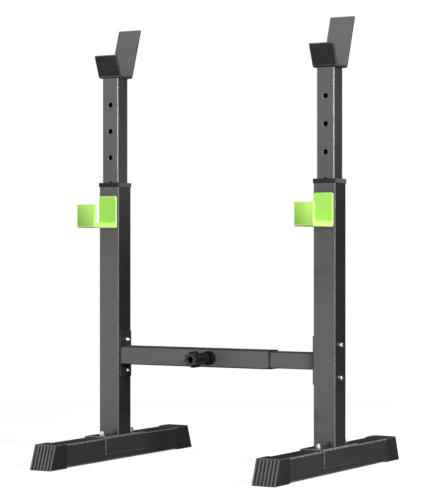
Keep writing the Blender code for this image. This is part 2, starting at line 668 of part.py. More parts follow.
def build_clamp(left):
    """The boss on the beam's front, the screw in it and the star knob on the screw."""
    clamp_x = BEAM_MOUTH_X - CLAMP_SETBACK + UPRIGHT_SPACING / 2
    clamp = add_empty("clamp_axis", (clamp_x, -BEAM_OUTER_SIZE / 2 - GAP, BEAM_HEIGHT), left)
    towards_lifter = (math.pi / 2, 0.0, 0.0)
    boss_body = cylinder(CLAMP_BOSS_DIAMETER, (0.0, 0.0, 0.0), (0.0, 0.0, CLAMP_BOSS_LENGTH), KNOB_STEPS // 2)
    boss = add_piece("clamp_boss", boss_body, clamp, (0.0, 0.0, 0.0), "powder_coat", towards_lifter)
    round_edges(boss, KNOB_EDGE_RADIUS, 2, angle=60.0)
    bore = CLAMP_SCREW_DIAMETER + 2 * SLIDING_GAP
    past_boss = CLAMP_BOSS_LENGTH + CUTTER_REACH
    cut(boss, cylinder(bore, (0.0, 0.0, -CUTTER_REACH), (0.0, 0.0, past_boss)), "bore")
    knob_low = CLAMP_BOSS_LENGTH + CLAMP_SCREW_NECK
    nose = -(BEAM_OUTER_SIZE - BEAM_INNER_SIZE) / 2 + SLIDING_GAP - GAP
    shank = cylinder(CLAMP_SCREW_DIAMETER, (0.0, 0.0, nose), (0.0, 0.0, knob_low + KNOB_BORE_DEPTH))
    screw = add_piece("clamp_screw", shank, clamp, (0.0, 0.0, 0.0), "zinc", towards_lifter)
    round_edges(screw, HEX_EDGE_RADIUS, 1, angle=60.0)
    head_low = KNOB_HUB_LENGTH
    knob_end = KNOB_HUB_LENGTH + KNOB_HEAD_LENGTH
    head = lobed_cylinder(KNOB_HEAD_DIAMETER, head_low, knob_end, KNOB_LOBES, KNOB_LOBE_DEPTH)
    knob = add_piece("clamp_knob", head, clamp, (0.0, -knob_low, 0.0), "moulded_black", towards_lifter)
    round_edges(knob, KNOB_EDGE_RADIUS, 2, angle=60.0)
    hub = cylinder(KNOB_HUB_DIAMETER, (0.0, 0.0, 0.0), (0.0, 0.0, (head_low + knob_end) / 2), KNOB_STEPS // 2)
    join(knob, hub, "hub")
    socket = CLAMP_SCREW_DIAMETER + 2 * GAP
    recess_floor = knob_end - KNOB_RECESS_DEPTH
    past_knob = knob_end + CUTTER_REACH
    cut(knob, merge(
        cylinder(socket, (0.0, 0.0, -CUTTER_REACH), (0.0, 0.0, KNOB_BORE_DEPTH + GAP)),
        cylinder(KNOB_RECESS_DIAMETER, (0.0, 0.0, recess_floor), (0.0, 0.0, past_knob)),
    ), "bores")


def build_side(side, inward):
    """One side of the rack: foot, saddle, upright, inner upright, cup, hook, pin and bracket."""
    frame = add_empty(f"{side}_frame", (-inward * UPRIGHT_SPACING / 2, 0.0, 0.0))
    slide = add_empty(f"{side}_height_slide", (0.0, 0.0, POST_FOOT), frame)
    build_foot(side, frame)
    build_saddle(side, frame)
    build_upright(side, frame)
    build_collar(side, frame)
    build_post(side, slide)
    build_cup(side, slide)
    build_hook(side, frame)
    build_height_pin(side, frame)
    build_bracket(side, inward, frame)
    return frame


def main():
    start_scene()
    add_finish("powder_coat", (0.075, 0.076, 0.080), 0.38)
    add_finish("moulded_black", (0.022, 0.022, 0.023), 0.55)
    add_finish("green_coat", (0.350, 0.800, 0.110), 0.40)
    add_finish("zinc", (0.750, 0.755, 0.760), 0.28, 1.0)
    left = build_side("left", 1)
    right = build_side("right", -1)
    build_beam(left, right)
    build_clamp(left)


main()
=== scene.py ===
"""Dressed scene of an adjustable bench press rack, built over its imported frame.

Metres, +Z up, in the frame of the CAD: X runs along the beam, the feet lie along Y and the lifter is on
the -Y side. A piece that both sides have is modelled once, round the left upright's axis with +X
towards the beam. Each side then gets its own copy, mirrored on the right.
"""

import sys

import logging
import math
from dataclasses import dataclass, replace
from enum import Enum
from typing import Callable, ClassVar, Optional, Sequence

import bmesh
import bpy
from mathutils import Matrix, Vector


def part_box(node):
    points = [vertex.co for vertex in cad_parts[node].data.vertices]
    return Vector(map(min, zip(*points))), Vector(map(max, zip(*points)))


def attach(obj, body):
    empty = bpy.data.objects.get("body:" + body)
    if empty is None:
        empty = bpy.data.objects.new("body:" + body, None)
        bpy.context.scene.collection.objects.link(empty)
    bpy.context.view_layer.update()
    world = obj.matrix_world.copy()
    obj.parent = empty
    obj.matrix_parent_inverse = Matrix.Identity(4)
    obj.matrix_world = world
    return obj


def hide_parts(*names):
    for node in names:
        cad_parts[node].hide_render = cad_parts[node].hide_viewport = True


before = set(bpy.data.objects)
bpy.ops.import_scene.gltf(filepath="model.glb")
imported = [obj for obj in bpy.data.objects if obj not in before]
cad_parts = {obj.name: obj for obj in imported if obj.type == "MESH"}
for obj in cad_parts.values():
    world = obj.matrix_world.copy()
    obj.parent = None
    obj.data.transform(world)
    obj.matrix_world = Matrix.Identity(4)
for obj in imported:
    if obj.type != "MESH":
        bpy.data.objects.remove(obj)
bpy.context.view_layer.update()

log = logging.getLogger("bench_press_rack")

Pair = tuple[float, float]
Triple = tuple[float, float, float]
Colour = Triple
Socket = bpy.types.NodeSocket
Feed = Socket | float | Triple
Feeds = dict[str | int, Feed]
Part = bmesh.types.BMVert | bmesh.types.BMEdge | bmesh.types.BMFace
Test = Callable[[Part], bool]

NEAR = 1e-5  # Places that are closer than this are one place.
MERGED = 1e-6  # Points that are closer than this are merged.
ALIGNED = 0.999  # The cosine from which an edge runs along an axis.
FACING = 0.99  # The cosine from which a face looks a way.
PAST = 0.002  # How far a cutting tool reaches out of the piece.
SHARP = 35.0  # The angle in degrees from which an edge is sharp.
# Tight roundings carry edge wear, and on several finishes painted edge highlights and painted shade.
TIGHT = 0.0045  # The largest rounding that counts as an edge, where a finish wears.
LEAST_TURN = math.radians(2.0)  # The least turn between two faces of a rounding.
ROUNDED = 0.3  # How far in from its corner the middle of a rounding lies, as a share of its radius.
EDGE = "edge"
NOISE_SPAN = (0.3, 0.7)  # What nearly all of a noise lies between.
# The runs below break up both the edge wear and the highlights and shade painted along edges.
WEAR_AND_LIGHT_RUNS = 160.0  # How many runs of wear there are to a metre of edge.
WEAR_AND_LIGHT_SPAN = (0.35, 0.6)  # Where in their noise the wear starts and is full.
# The span below sets where painted side light starts and is full on faces that look along X.
PAINTED_SIDE_SPAN = (0.7, 0.9)  # How far a normal points along X where a side starts and is full.
THREAD_SHARES = (0.45, 0.58, 0.95, 1.0)  # Where a groove has its floor and its crest, as shares of a turn.
SADDLE_ENDS = ("front", "rear")
BRACKET_LEVELS = ("upper", "lower")


class Side(Enum):
    """The rack's two sides, as the lifter's view from the front names them."""

    LEFT = "left"
    RIGHT = "right"

    @property
    def axis_x(self) -> float:
        """X of this side's upright axis."""
        low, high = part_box(f"{self.value}_outer_upright")
        return (low.x + high.x) / 2

    @property
    def placing(self) -> Matrix:
        """Takes a piece from the upright's own frame to this side."""
        turned = -1.0 if self is Side.RIGHT else 1.0
        return Matrix.Translation((self.axis_x, 0.0, 0.0)) @ Matrix.Diagonal((turned, 1.0, 1.0, 1.0))


class Along(Enum):
    """The axis that a bar or an edge runs along."""

    X = 0
    Y = 1
    Z = 2

    @property
    def unit(self) -> Vector:
        """The axis as a unit vector."""
        return Matrix.Identity(3)[self.value].copy()

    def turn(self, angle: float) -> Matrix:
        """A turn about the axis."""
        return Matrix.Rotation(angle, 4, self.name)


class Joining(Enum):
    """How one solid is combined with another."""

    ADD = "UNION"
    CUT = "DIFFERENCE"
    KEEP = "INTERSECT"


class Kind(Enum):
    """What is selected in edit mode, with the mesh's own name for it."""

    VERT = "verts"
    EDGE = "edges"
    FACE = "faces"


@dataclass(frozen=True)
class Room:
    """The space that a CAD node fills, as its lowest and highest corners."""

    low: Vector
    high: Vector

    @classmethod
    def of(cls, node: str) -> "Room":
        """The space of a node of the whole rack."""
        return cls(*map(Vector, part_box(node)))

    @classmethod
    def beside(cls, label: str) -> "Room":
        """The space of a node that both sides have, measured from the left upright's axis."""
        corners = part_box(f"{Side.LEFT.value}_{label}")
        return cls(*(Vector(corner) - Side.LEFT.axis_x * Along.X.unit for corner in corners))

    @property
    def middle(self) -> Vector:
        """The centre of the space."""
        return (self.low + self.high) / 2

    @property
    def size(self) -> Vector:
        """The size of the space."""
        return self.high - self.low


def rest() -> None:
    """Leaves edit mode and deselects everything, so that the next operator acts on one piece only."""
    if bpy.context.object is not None and bpy.context.object.mode != "OBJECT":
        bpy.ops.object.mode_set(mode="OBJECT")
    bpy.ops.object.select_all(action="DESELECT")


def middle_of(part: Part) -> Vector:
    """The middle of an edge or a face."""
    return sum((vert.co for vert in part.verts), Vector()) / len(part.verts)


def between(axis: Along, low: float = -math.inf, high: float = math.inf) -> Test:
    """Makes a test for edges or faces whose middle lies in a stretch of an axis."""
    return lambda part: low - NEAR < middle_of(part)[axis.value] < high + NEAR


def runs_along(axis: Along, *tests: Test) -> Test:
    """Makes a test for edges that run along an axis and that pass further tests."""
    return lambda edge: (
        abs((edge.verts[1].co - edge.verts[0].co).normalized()[axis.value]) > ALIGNED
        and all(test(edge) for test in tests))


def faces_to(aim: Sequence[float], *tests: Test) -> Test:
    """Makes a test for faces whose normals point one way and that pass further tests."""
    direction = Vector(aim).normalized()
    return lambda face: face.normal.dot(direction) > FACING and all(test(face) for test in tests)


class Workpiece:
    """A mesh in the making, shaped with Blender's own operators as at a bench."""

    def __init__(self, obj: bpy.types.Object) -> None:
        """Takes up an object."""
        self.obj = obj

    @classmethod
    def block(cls, low: Sequence[float], high: Sequence[float]) -> "Workpiece":
        """Starts from a block.

        Args:
            low: Its lowest corner.
            high: Its highest corner.

        Returns:
            The new workpiece.
        """
        low, high = Vector(low), Vector(high)
        rest()
        bpy.ops.mesh.primitive_cube_add(size=1.0, location=(low + high) / 2, scale=high - low)
        return cls(bpy.context.object).settled()

    @classmethod
    def bar(
            cls, axis: Along, centre: Sequence[float], width: float, start: float, end: float, corner: float,
            steps: int = 4) -> "Workpiece":
        """Starts from a square bar with rounded corners.

        Args:
            axis: The axis that it runs along.
            centre: A point on its middle line.
            width: Its size over its flats.
            start: Where it starts along the axis.
            end: Where it ends.
            corner: The radius of its corners.
            steps: How many steps a corner has.

        Returns:
            The new workpiece.
        """
        low = [value - width / 2 for value in centre]
        high = [value + width / 2 for value in centre]
        low[axis.value] = start
        high[axis.value] = end
        return cls.block(low, high).round(runs_along(axis), corner, steps)

    @classmethod
    def rod(
            cls, start: Sequence[float], end: Sequence[float], diameter: float,
            sides: int = 32) -> "Workpiece":
        """Starts from a round or many-sided rod.

        Args:
            start: The middle of its first end.
            end: The middle of its other end.
            diameter: Its diameter, over the corners.
            sides: How many sides it has.

        Returns:
            The new workpiece.
        """
        start, end = Vector(start), Vector(end)
        rest()
        bpy.ops.mesh.primitive_cylinder_add(
            vertices=sides, radius=diameter / 2, depth=(end - start).length, location=(start + end) / 2,
            rotation=(end - start).to_track_quat("Z", "Y").to_euler())
        return cls(bpy.context.object).settled()

    @classmethod
    def turned(cls, profile: Sequence[Pair], steps: int = 40) -> "Workpiece":
        """Turns a profile round the Z axis, as on a lathe.

        Args:
            profile: Radius and height of each point, in order; ends on the axis close the piece.
            steps: How many steps the turn has.

        Returns:
            The new workpiece.
        """
        rest()
        bpy.ops.mesh.primitive_plane_add(size=0.01)
        work = cls(bpy.context.object)
        work.open(Kind.VERT)
        bpy.ops.mesh.merge(type="CENTER")
        bpy.ops.transform.translate(value=(profile[0][0], 0.0, profile[0][1]))
        for here, there in zip(profile, profile[1:]):
            step = (there[0] - here[0], 0.0, there[1] - here[1])
            bpy.ops.mesh.extrude_region_move(TRANSFORM_OT_translate={"value": step})
        bpy.ops.mesh.select_all(action="SELECT")
        bpy.ops.mesh.spin(steps=steps, angle=math.tau, center=(0.0, 0.0, 0.0), axis=(0.0, 0.0, 1.0))
        bpy.ops.mesh.select_all(action="SELECT")
        bpy.ops.mesh.remove_doubles(threshold=MERGED)
        return work.close().faced()

    def hold(self) -> None:
        """Makes this piece the active one and the only one selected."""
        rest()
        self.obj.select_set(True)
        bpy.context.view_layer.objects.active = self.obj

    def open(self, kind: Kind, test: Optional[Test] = None) -> None:
        """Opens the mesh for editing, with all of it or some of it selected.

        Args:
            kind: What is selected.
            test: Picks what is selected; without one, everything is.
        """
        self.hold()
        bpy.ops.object.mode_set(mode="EDIT")
        bpy.ops.mesh.select_mode(type=kind.name)
        bpy.ops.mesh.select_all(action="SELECT" if test is None else "DESELECT")
        if test is not None:
            mesh = bmesh.from_edit_mesh(self.obj.data)
            for part in getattr(mesh, kind.value):
                if test(part):
                    part.select_set(True)
            bmesh.update_edit_mesh(self.obj.data)

    def close(self) -> "Workpiece":
        """Ends editing."""
        bpy.ops.object.mode_set(mode="OBJECT")
        return self

    def shape(
            self, kind: Kind, test: Optional[Test], operator: Callable[..., set[str]],
            **settings: object) -> "Workpiece":
        """Runs an operator on chosen parts of the mesh.

        Args:
            kind: What is selected.
            test: Picks what is selected; without one, everything is.
            operator: The operator.
            settings: Its settings.

        Returns:
            The workpiece.
        """
        self.open(kind, test)
        operator(**settings)
        return self.close()

    def round(self, test: Test, radius: float, steps: int = 5) -> "Workpiece":
        """Rounds chosen edges."""
        return self.shape(
            Kind.EDGE, test, bpy.ops.mesh.bevel, offset=radius, segments=steps, profile=0.5, affect="EDGES")

    def push(self, test: Test, move: Sequence[float]) -> "Workpiece":
        """Extrudes chosen faces."""
        extrude = bpy.ops.mesh.extrude_region_move
        return self.shape(Kind.FACE, test, extrude, TRANSFORM_OT_translate={"value": move})

    def bend(self, test: Test, centre: Triple, angle: float, steps: int = 8) -> "Workpiece":
        """Bends on from an end face, from +Y towards +Z round a centre."""
        return self.shape(
            Kind.FACE, test, bpy.ops.mesh.spin, steps=steps, angle=-angle, center=centre, axis=Along.X.unit)

    def modify(self, kind: str, **settings: object) -> "Workpiece":
        """Adds a modifier and applies it.

        Args:
            kind: Its type.
            settings: Its settings.

        Returns:
            The workpiece.
        """
        modifier = self.obj.modifiers.new(kind, kind)
        for label, value in settings.items():
            setattr(modifier, label, value)
        self.hold()
        bpy.ops.object.modifier_apply(modifier=modifier.name)
        return self

    def soften(self, radius: float, steps: int = 2, angle: float = SHARP) -> "Workpiece":
        """Rounds every edge that is sharper than an angle, in degrees."""
        return self.modify(
            "BEVEL", width=radius, segments=steps, limit_method="ANGLE", angle_limit=math.radians(angle),
            miter_outer="MITER_ARC")

    def combine(self, how: Joining, *others: "Workpiece") -> "Workpiece":
        """Joins, cuts or meets this solid with others, which are used up."""
        for other in others:
            self.modify("BOOLEAN", operation=how.value, solver="EXACT", object=other.obj)
            other.scrap()
        return self

    def cut(self, *cutters: "Workpiece") -> "Workpiece":
        """Cuts other solids out of this one."""
        return self.combine(Joining.CUT, *cutters)

    def add(self, *others: "Workpiece") -> "Workpiece":
        """Joins other solids to this one."""
        return self.combine(Joining.ADD, *others)

    def settled(self) -> "Workpiece":
        """Moves the object's place into its mesh, so that the object sits at the origin."""
        self.hold()
        bpy.ops.object.transform_apply(location=True, rotation=True, scale=True)
        return self

    def placed(self, matrix: Matrix) -> "Workpiece":
        """Takes the piece to another place."""
        self.obj.matrix_world = matrix
        return self.settled()

    def copied(self, matrix: Matrix) -> "Workpiece":
        """Copies the piece with a mesh of its own.

        Args:
            matrix: Takes the copy to its place.

        Returns:
            The copy.
        """
        self.hold()
        bpy.ops.object.duplicate(linked=False)
        return Workpiece(bpy.context.object).placed(matrix)

    def row(self, step: Triple, count: int) -> list["Workpiece"]:
        """Repeats the piece in a row; the piece itself is used up.

        Args:
            step: The way from one to the next.
            count: How many there are.

        Returns:
            The row, which starts where the piece was.
        """
        places = [[index * value for value in step] for index in range(count)]
        copies = [self.copied(Matrix.Translation(place)) for place in places]
        self.scrap()
        return copies

    def faced(self) -> "Workpiece":
        """Turns every face outwards."""
        return self.shape(Kind.FACE, None, bpy.ops.mesh.normals_make_consistent, inside=False)

    def shaded(self) -> "Workpiece":
        """Shades rounded parts smooth and leaves the flats flat."""
        self.hold()
        bpy.ops.object.shade_smooth_by_angle(angle=math.radians(SHARP))
        return self.modify("WEIGHTED_NORMAL", keep_sharp=True)

    def edged(self) -> "Workpiece":
        """Marks the faces of tight outer roundings, where a finish is thinnest and wears first, and where
        several finishes paint edge highlights and shade.
        """
        mesh = bmesh.new()
        mesh.from_mesh(self.obj.data)
        marks = [float(any(self.is_tight(face, edge) for edge in face.edges)) for face in mesh.faces]
        mesh.free()
        self.obj.data.attributes.new(EDGE, "FLOAT", "FACE").data.foreach_set("value", marks)
        return self

    @staticmethod
    def is_tight(face: bmesh.types.BMFace, edge: bmesh.types.BMEdge) -> bool:
        """Tells whether a face turns into its neighbour over a tight outer rounding."""
        turn = edge.calc_face_angle_signed(0.0)
        return turn > LEAST_TURN and face.calc_area() < TIGHT * turn * edge.calc_length()

    def scrap(self) -> None:
        """Removes the workpiece."""
        mesh = self.obj.data
        bpy.data.objects.remove(self.obj, do_unlink=True)
        bpy.data.meshes.remove(mesh)

    def open_edges(self) -> int:
        """Counts the edges that don't join two faces."""
        mesh = bmesh.new()
        mesh.from_mesh(self.obj.data)
        count = sum(not edge.is_manifold for edge in mesh.edges)
        mesh.free()
        return count


class NodeSheet:
    """The nodes of a material or of the world."""

    def __init__(self, owner: bpy.types.Material | bpy.types.World) -> None:
        """Takes up the nodes of a material or world.

        Args:
            owner: The material or world.
        """
        owner.use_nodes = True
        self.owner = owner
        self.nodes = owner.node_tree.nodes

    def feed(self, socket: Socket, value: Feed) -> None:
        """Joins a socket to another one, or sets it.

        Args:
            socket: The socket.
            value: The other socket, or a number, vector or colour.
        """
        if isinstance(value, Socket):
            self.owner.node_tree.links.new(value, socket)
        else:
            socket.default_value = (*value, 1.0) if socket.type == "RGBA" else value

    def add(
            self, kind: str, inputs: Optional[Feeds] = None,
            **settings: str) -> bpy.types.bpy_prop_collection:
        """Adds a node.

        Args:
            kind: Its type.
            inputs: What goes into its sockets.
            settings: Its settings.

        Returns:
            Its outputs.
        """
        node = self.nodes.new(f"ShaderNode{kind}")
        for label, value in settings.items():
            setattr(node, label, value)
        for label, value in (inputs or {}).items():
            self.feed(node.inputs[label], value)
        return node.outputs

    def reckon(self, operation: str, *values: Feed) -> Socket:
        """Works out one value from others, by the name of the sum."""
        return self.add("Math", dict(enumerate(values)), operation=operation)[0]

    def seen_directly(self) -> Socket:
        """Adds a factor that is 1 where the camera, a gloss or a glass sees a surface."""
        path = self.add("LightPath")
        seen = self.reckon("MAXIMUM", path["Is Camera Ray"], path["Is Glossy Ray"])
        return self.reckon("MAXIMUM", seen, path["Is Transmission Ray"])


class ShaderSheet(NodeSheet):
    """The nodes of one finish, laid out back from its Principled shader."""

    def __init__(self, name: str) -> None:
        """Makes the material and reads the piece's own coordinates and normals.

        Args:
            name: The material's name.
        """
        super().__init__(bpy.data.materials.new(name))
        own = self.add("TexCoord")
        self.place, self.facing = own["Object"], own["Normal"]

    def shade(self, inputs: Feeds) -> bpy.types.Material:
        """Feeds the shader.

        Args:
            inputs: What goes into its sockets.

        Returns:
            The material.
        """
        for label, value in inputs.items():
            self.feed(self.nodes["Principled BSDF"].inputs[label], value)
        return self.owner

    def noise(self, scale: float, detail: float = 3.0, stretch: Triple = (1.0, 1.0, 1.0)) -> Socket:
        """Adds a noise with so many patches to a metre, finer along an axis where it is stretched."""
        place = self.add("Mapping", {"Vector": self.place, "Scale": stretch})["Vector"]
        return self.add("TexNoise", {"Vector": place, "Scale": scale, "Detail": detail})["Fac"]

    def spread(
            self, source: Socket, start: float, end: float, low: float = 0.0, high: float = 1.0) -> Socket:
        """Maps the values from start to end to those from low to high."""
        return self.add("MapRange", {
            "Value": source, "From Min": start, "From Max": end, "To Min": low, "To Max": high})["Result"]

    def blend(self, factor: Socket, first: Socket | Colour, second: Socket | Colour) -> Socket:
        """Mixes two colours; the factor says how much of the second one there is."""
        return self.add("Mix", {0: factor, 6: first, 7: second}, data_type="RGBA")[2]

    def fade(self, factor: Socket, first: Socket, second: float) -> Socket:
        """Mixes two values; the factor says how much of the second one there is."""
        return self.add("Mix", {0: factor, 2: first, 3: second})[0]

    def part(self, source: Socket, axis: Along) -> Socket:
        """Reads one coordinate of a place or a direction."""
        return self.add("SeparateXYZ", {0: source})[axis.value]

    def off_axis(self) -> Socket:
        """Finds how far to the right of its own upright's axis a place is."""
        spacing = Side.RIGHT.axis_x - Side.LEFT.axis_x
        offset = self.reckon("SUBTRACT", self.part(self.place, Along.X), Side.LEFT.axis_x)
        return self.reckon("WRAP", offset, spacing / 2, -spacing / 2)

    def painted_side_light_mask(self) -> Socket:
        """Finds the faces that look along X, from 0 to 1, where a finish's side colour paints light."""
        return self.spread(self.reckon("ABSOLUTE", self.part(self.facing, Along.X)), *PAINTED_SIDE_SPAN)

    def wear_and_painted_light_mask(self, least: float) -> Socket:
        """Finds the edges that carry wear and painted highlights and shade, from 0 to 1, in broken runs that
        are least marked by a given share.
        """
        runs = self.spread(self.noise(WEAR_AND_LIGHT_RUNS, 4.0), *WEAR_AND_LIGHT_SPAN, least)
        return self.reckon("MULTIPLY", self.add("Attribute", attribute_name=EDGE)["Fac"], runs)

    def relief(self, height: Socket, depth: float, under: Optional[Socket] = None) -> Socket:
        """Adds a relief.

        Args:
            height: Its height, from 0 to 1.
            depth: What a height of 1 stands for, in metres.
            under: A coarser relief under it.

        Returns:
            The normal.
        """
        inputs = {"Distance": depth, "Height": height}
        if under is not None:
            inputs["Normal"] = under
        return self.add("Bump", inputs)["Normal"]


@dataclass(frozen=True)
class Finish:
    """A finish that pieces are given; its material is made once."""

    slot: str = ""
    title: str = ""
    colour: Colour = (0.5, 0.5, 0.5)
    pale: Colour = (0.5, 0.5, 0.5)
    # The rim colour fills tight edge roundings as wear, and on several finishes also as a painted highlight
    # or a painted shade.
    rim: Colour = (0.5, 0.5, 0.5)
    # The side colour, where given, paints light on the faces that look along X.
    side: Optional[Colour] = None
    rim_least: float = 0.2
    patches: float = 25.0
    patch_detail: float = 4.0
    patch_stretch: Triple = (1.0, 1.0, 1.0)
    patch_range: tuple[float, ...] = NOISE_SPAN
    metal: float = 0.0
    reflection: float = 0.5
    roughness: Pair = (0.4, 0.5)
    gloss_patches: float = 60.0
    texture: float = 1500.0
    texture_detail: float = 2.0
    texture_depth: float = 0.00002

    def material(self) -> bpy.types.Material:
        """The finish's material."""
        name = f"{self.title}_finish"
        return bpy.data.materials.get(name) or self.mixed(ShaderSheet(name))

    def mixed(self, sheet: ShaderSheet) -> bpy.types.Material:
        """Lays out the finish's colour with its edge wear and the highlights and shade painted along its
        edges, its gloss and its texture.
        """
        wear_and_painted_light = sheet.wear_and_painted_light_mask(self.rim_least)
        return sheet.shade({
            "Base Color": sheet.blend(wear_and_painted_light, self.paint(sheet), self.rim),
            "Metallic": self.metal,
            "Specular IOR Level": self.reflection,
            "Roughness": self.gloss(sheet, wear_and_painted_light),
            "Normal": self.surface(sheet)})

    def paint(self, sheet: ShaderSheet) -> Socket:
        """Lays out the colour in two slightly different tones, and the side colour that paints light on the
        faces that look along X, if there is one.

        Args:
            sheet: The sheet to lay it out on.

        Returns:
            The colour.
        """
        patches = sheet.noise(self.patches, self.patch_detail, self.patch_stretch)
        base = sheet.blend(sheet.spread(patches, *self.patch_range), self.colour, self.pale)
        base = self.marks_and_painted_shade(sheet, base)
        return base if self.side is None else sheet.blend(sheet.painted_side_light_mask(), base, self.side)

    def marks_and_painted_shade(self, sheet: ShaderSheet, base: Socket) -> Socket:
        """Adds the finish's own marks to its colour, and the shade that a finish may paint there."""
        return base

    def gloss(self, sheet: ShaderSheet, wear_and_painted_light: Socket) -> Socket:
        """Lays out the roughness."""
        return sheet.spread(sheet.noise(self.gloss_patches), *NOISE_SPAN, *self.roughness)

    def surface(self, sheet: ShaderSheet) -> Socket:
        """Lays out the texture."""
        return sheet.relief(sheet.noise(self.texture, self.texture_detail), self.texture_depth)


@dataclass(frozen=True)
class PowderCoat(Finish):
    """Charcoal powder coat with a fine orange peel, satin and slightly cloudy, thinner on the edges, where
    its rim colour also paints highlights, and on the beam painted shade.
    """

    slot: str = "powder_coat"
    title: str = "upright_coat"
    colour: Colour = (0.0105, 0.0107, 0.0113)
    pale: Colour = (0.0155, 0.0157, 0.0167)
    # The pale rim is edge wear and also a painted highlight along the rounded edges of the upright, the cup
    # and the pin boss.
    rim: Colour = (0.1200, 0.1202, 0.1240)
    rim_least: float = 0.35
    patches: float = 14.0
    patch_range: tuple[float, ...] = (*NOISE_SPAN, 0.0, 0.6)
    rim_roughness: float = 0.26
    specks: float = 1300.0
    speck_range: tuple[float, ...] = (0.62, 0.72, 0.0, 0.5)
    rub_marks: float = 700.0
    rub_range: Pair = (0.60, 0.74)
    rub_stretch: Triple = (1.0, 1.0, 1.0)
    rubbed: float = 0.0
    reflection: float = 0.75
    roughness: Pair = (0.27, 0.34)
    gloss_patches: float = 38.0
    texture: float = 2600.0
    texture_depth: float = 0.000012
    peel: float = 420.0
    peel_depth: float = 0.00005

    def marks_and_painted_shade(self, sheet: ShaderSheet, base: Socket) -> Socket:
        """Adds specks, and the marks of sliding where the coat is rubbed.

        Args:
            sheet: The sheet to lay them out on.
            base: The colour without them.

        Returns:
            The colour with them.
        """
        specks = sheet.spread(sheet.noise(self.specks, 2.0), *self.speck_range)
        base = sheet.blend(specks, base, self.pale)
        if self.rubbed > 0.0:
            marks = sheet.noise(self.rub_marks, 2.0, self.rub_stretch)
            base = sheet.blend(sheet.spread(marks, *self.rub_range, 0.0, self.rubbed), base, self.rim)
        return base

    def gloss(self, sheet: ShaderSheet, wear_and_painted_light: Socket) -> Socket:
        """Lays out the roughness, with the edges' own roughness."""
        return sheet.fade(wear_and_painted_light, super().gloss(sheet, wear_and_painted_light), self.rim_roughness)

    def surface(self, sheet: ShaderSheet) -> Socket:
        """Lays out the orange peel with a fine grain on it."""
        peel = sheet.relief(sheet.noise(self.peel, 2.0), self.peel_depth)
        return sheet.relief(sheet.noise(self.texture, self.texture_detail), self.texture_depth, peel)


@dataclass(frozen=True)
class MouldedPlastic(Finish):
    """Black moulded plastic with an even spark-eroded texture and a slight bloom."""

    slot: str = "moulded_black"
    title: str = "moulded_black"
    colour: Colour = (0.014, 0.014, 0.0145)
    pale: Colour = (0.021, 0.021, 0.022)
    rim: Colour = (0.028, 0.028, 0.029)
    patch_range: tuple[float, ...] = (0.35, 0.7)
    reflection: float = 0.25
    roughness: Pair = (0.52, 0.64)
    texture: float = 1900.0
    texture_depth: float = 0.00004


@dataclass(frozen=True)
class GreenCoat(Finish):
    """Lime green moulding compound, smooth and half matt, with faint flow marks, and painted light and shade
    on its edges, sides and flap.
    """

    slot: str = "green_coat"
    title: str = "green_coat"
    colour: Colour = (0.365, 0.770, 0.090)
    pale: Colour = (0.395, 0.790, 0.108)
    # The pale rim paints highlights along the hook's edges, with some wear, and the side colour paints light
    # on the faces that look along X.
    rim: Colour = (0.560, 0.850, 0.240)
    side: Optional[Colour] = (0.500, 0.800, 0.190)
    rim_least: float = 0.5
    patches: float = 30.0
    patch_stretch: Triple = (1.0, 1.0, 2.5)
    roughness: Pair = (0.34, 0.46)
    gloss_patches: float = 90.0
    # Painted light and painted shade across the flap's front, from its upper right corner to its lower left
    # one.
    flap_painted_light: Colour = (0.520, 0.985, 0.150)
    flap_painted_shade: Colour = (0.150, 0.350, 0.022)
    flap_depth: float = 0.0045
    flap_reach: Pair = (0.034, 0.043)

    def marks_and_painted_shade(self, sheet: ShaderSheet, base: Socket) -> Socket:
        """Paints shade over the flap's front, darkest at its lower left corner and lightest at its upper
        right one.

        Args:
            sheet: The sheet to lay it out on.
            base: The colour of the rest of the hook.

        Returns:
            The colour of the whole hook.
        """
        low = Room.beside("bar_hook").low
        wide, high = self.flap_reach
        across = sheet.spread(sheet.off_axis(), low.x, low.x + wide, 0.5, 0.0)
        down = sheet.spread(sheet.part(sheet.place, Along.Z), low.z, low.z + high, 0.5, 0.0)
        front = sheet.reckon("LESS_THAN", sheet.part(sheet.place, Along.Y), low.y + self.flap_depth)
        shade = sheet.blend(sheet.reckon("ADD", across, down), self.flap_painted_light, self.flap_painted_shade)
        return sheet.blend(front, base, shade)


@dataclass(frozen=True)
class ZincPlate(Finish):
    """Bright zinc plate over steel, faintly blue and yellow, with fine drawing marks."""

    slot: str = "zinc"
    title: str = "zinc"
    colour: Colour = (0.72, 0.735, 0.76)
    pale: Colour = (0.78, 0.77, 0.73)
    rim: Colour = (0.86, 0.86, 0.86)
    rim_least: float = 0.3
    patches: float = 120.0
    patch_detail: float = 3.0
    metal: float = 1.0
    roughness: Pair = (0.30, 0.45)
    gloss_patches: float = 260.0
    texture: float = 900.0
    texture_detail: float = 3.0
    texture_depth: float = 0.00001


POWDER = PowderCoat()
# Its pale rim paints highlights along the rounded edges of the foot and saddle, with some edge wear.
FOOT_COAT = PowderCoat(
    title="foot_coat", colour=(0.0200, 0.0202, 0.0210), pale=(0.0275, 0.0277, 0.0290),
    rim=(0.160, 0.161, 0.165))
# Its pale rim paints a bright highlight along the post's corners, with some rubbed wear.
POST_COAT = PowderCoat(
    title="post_coat", colour=(0.0190, 0.0192, 0.0202), pale=(0.0270, 0.0272, 0.0288),
    rim=(0.270, 0.272, 0.280), rim_least=0.75, rubbed=0.10, rub_stretch=(1.0, 1.0, 0.02))
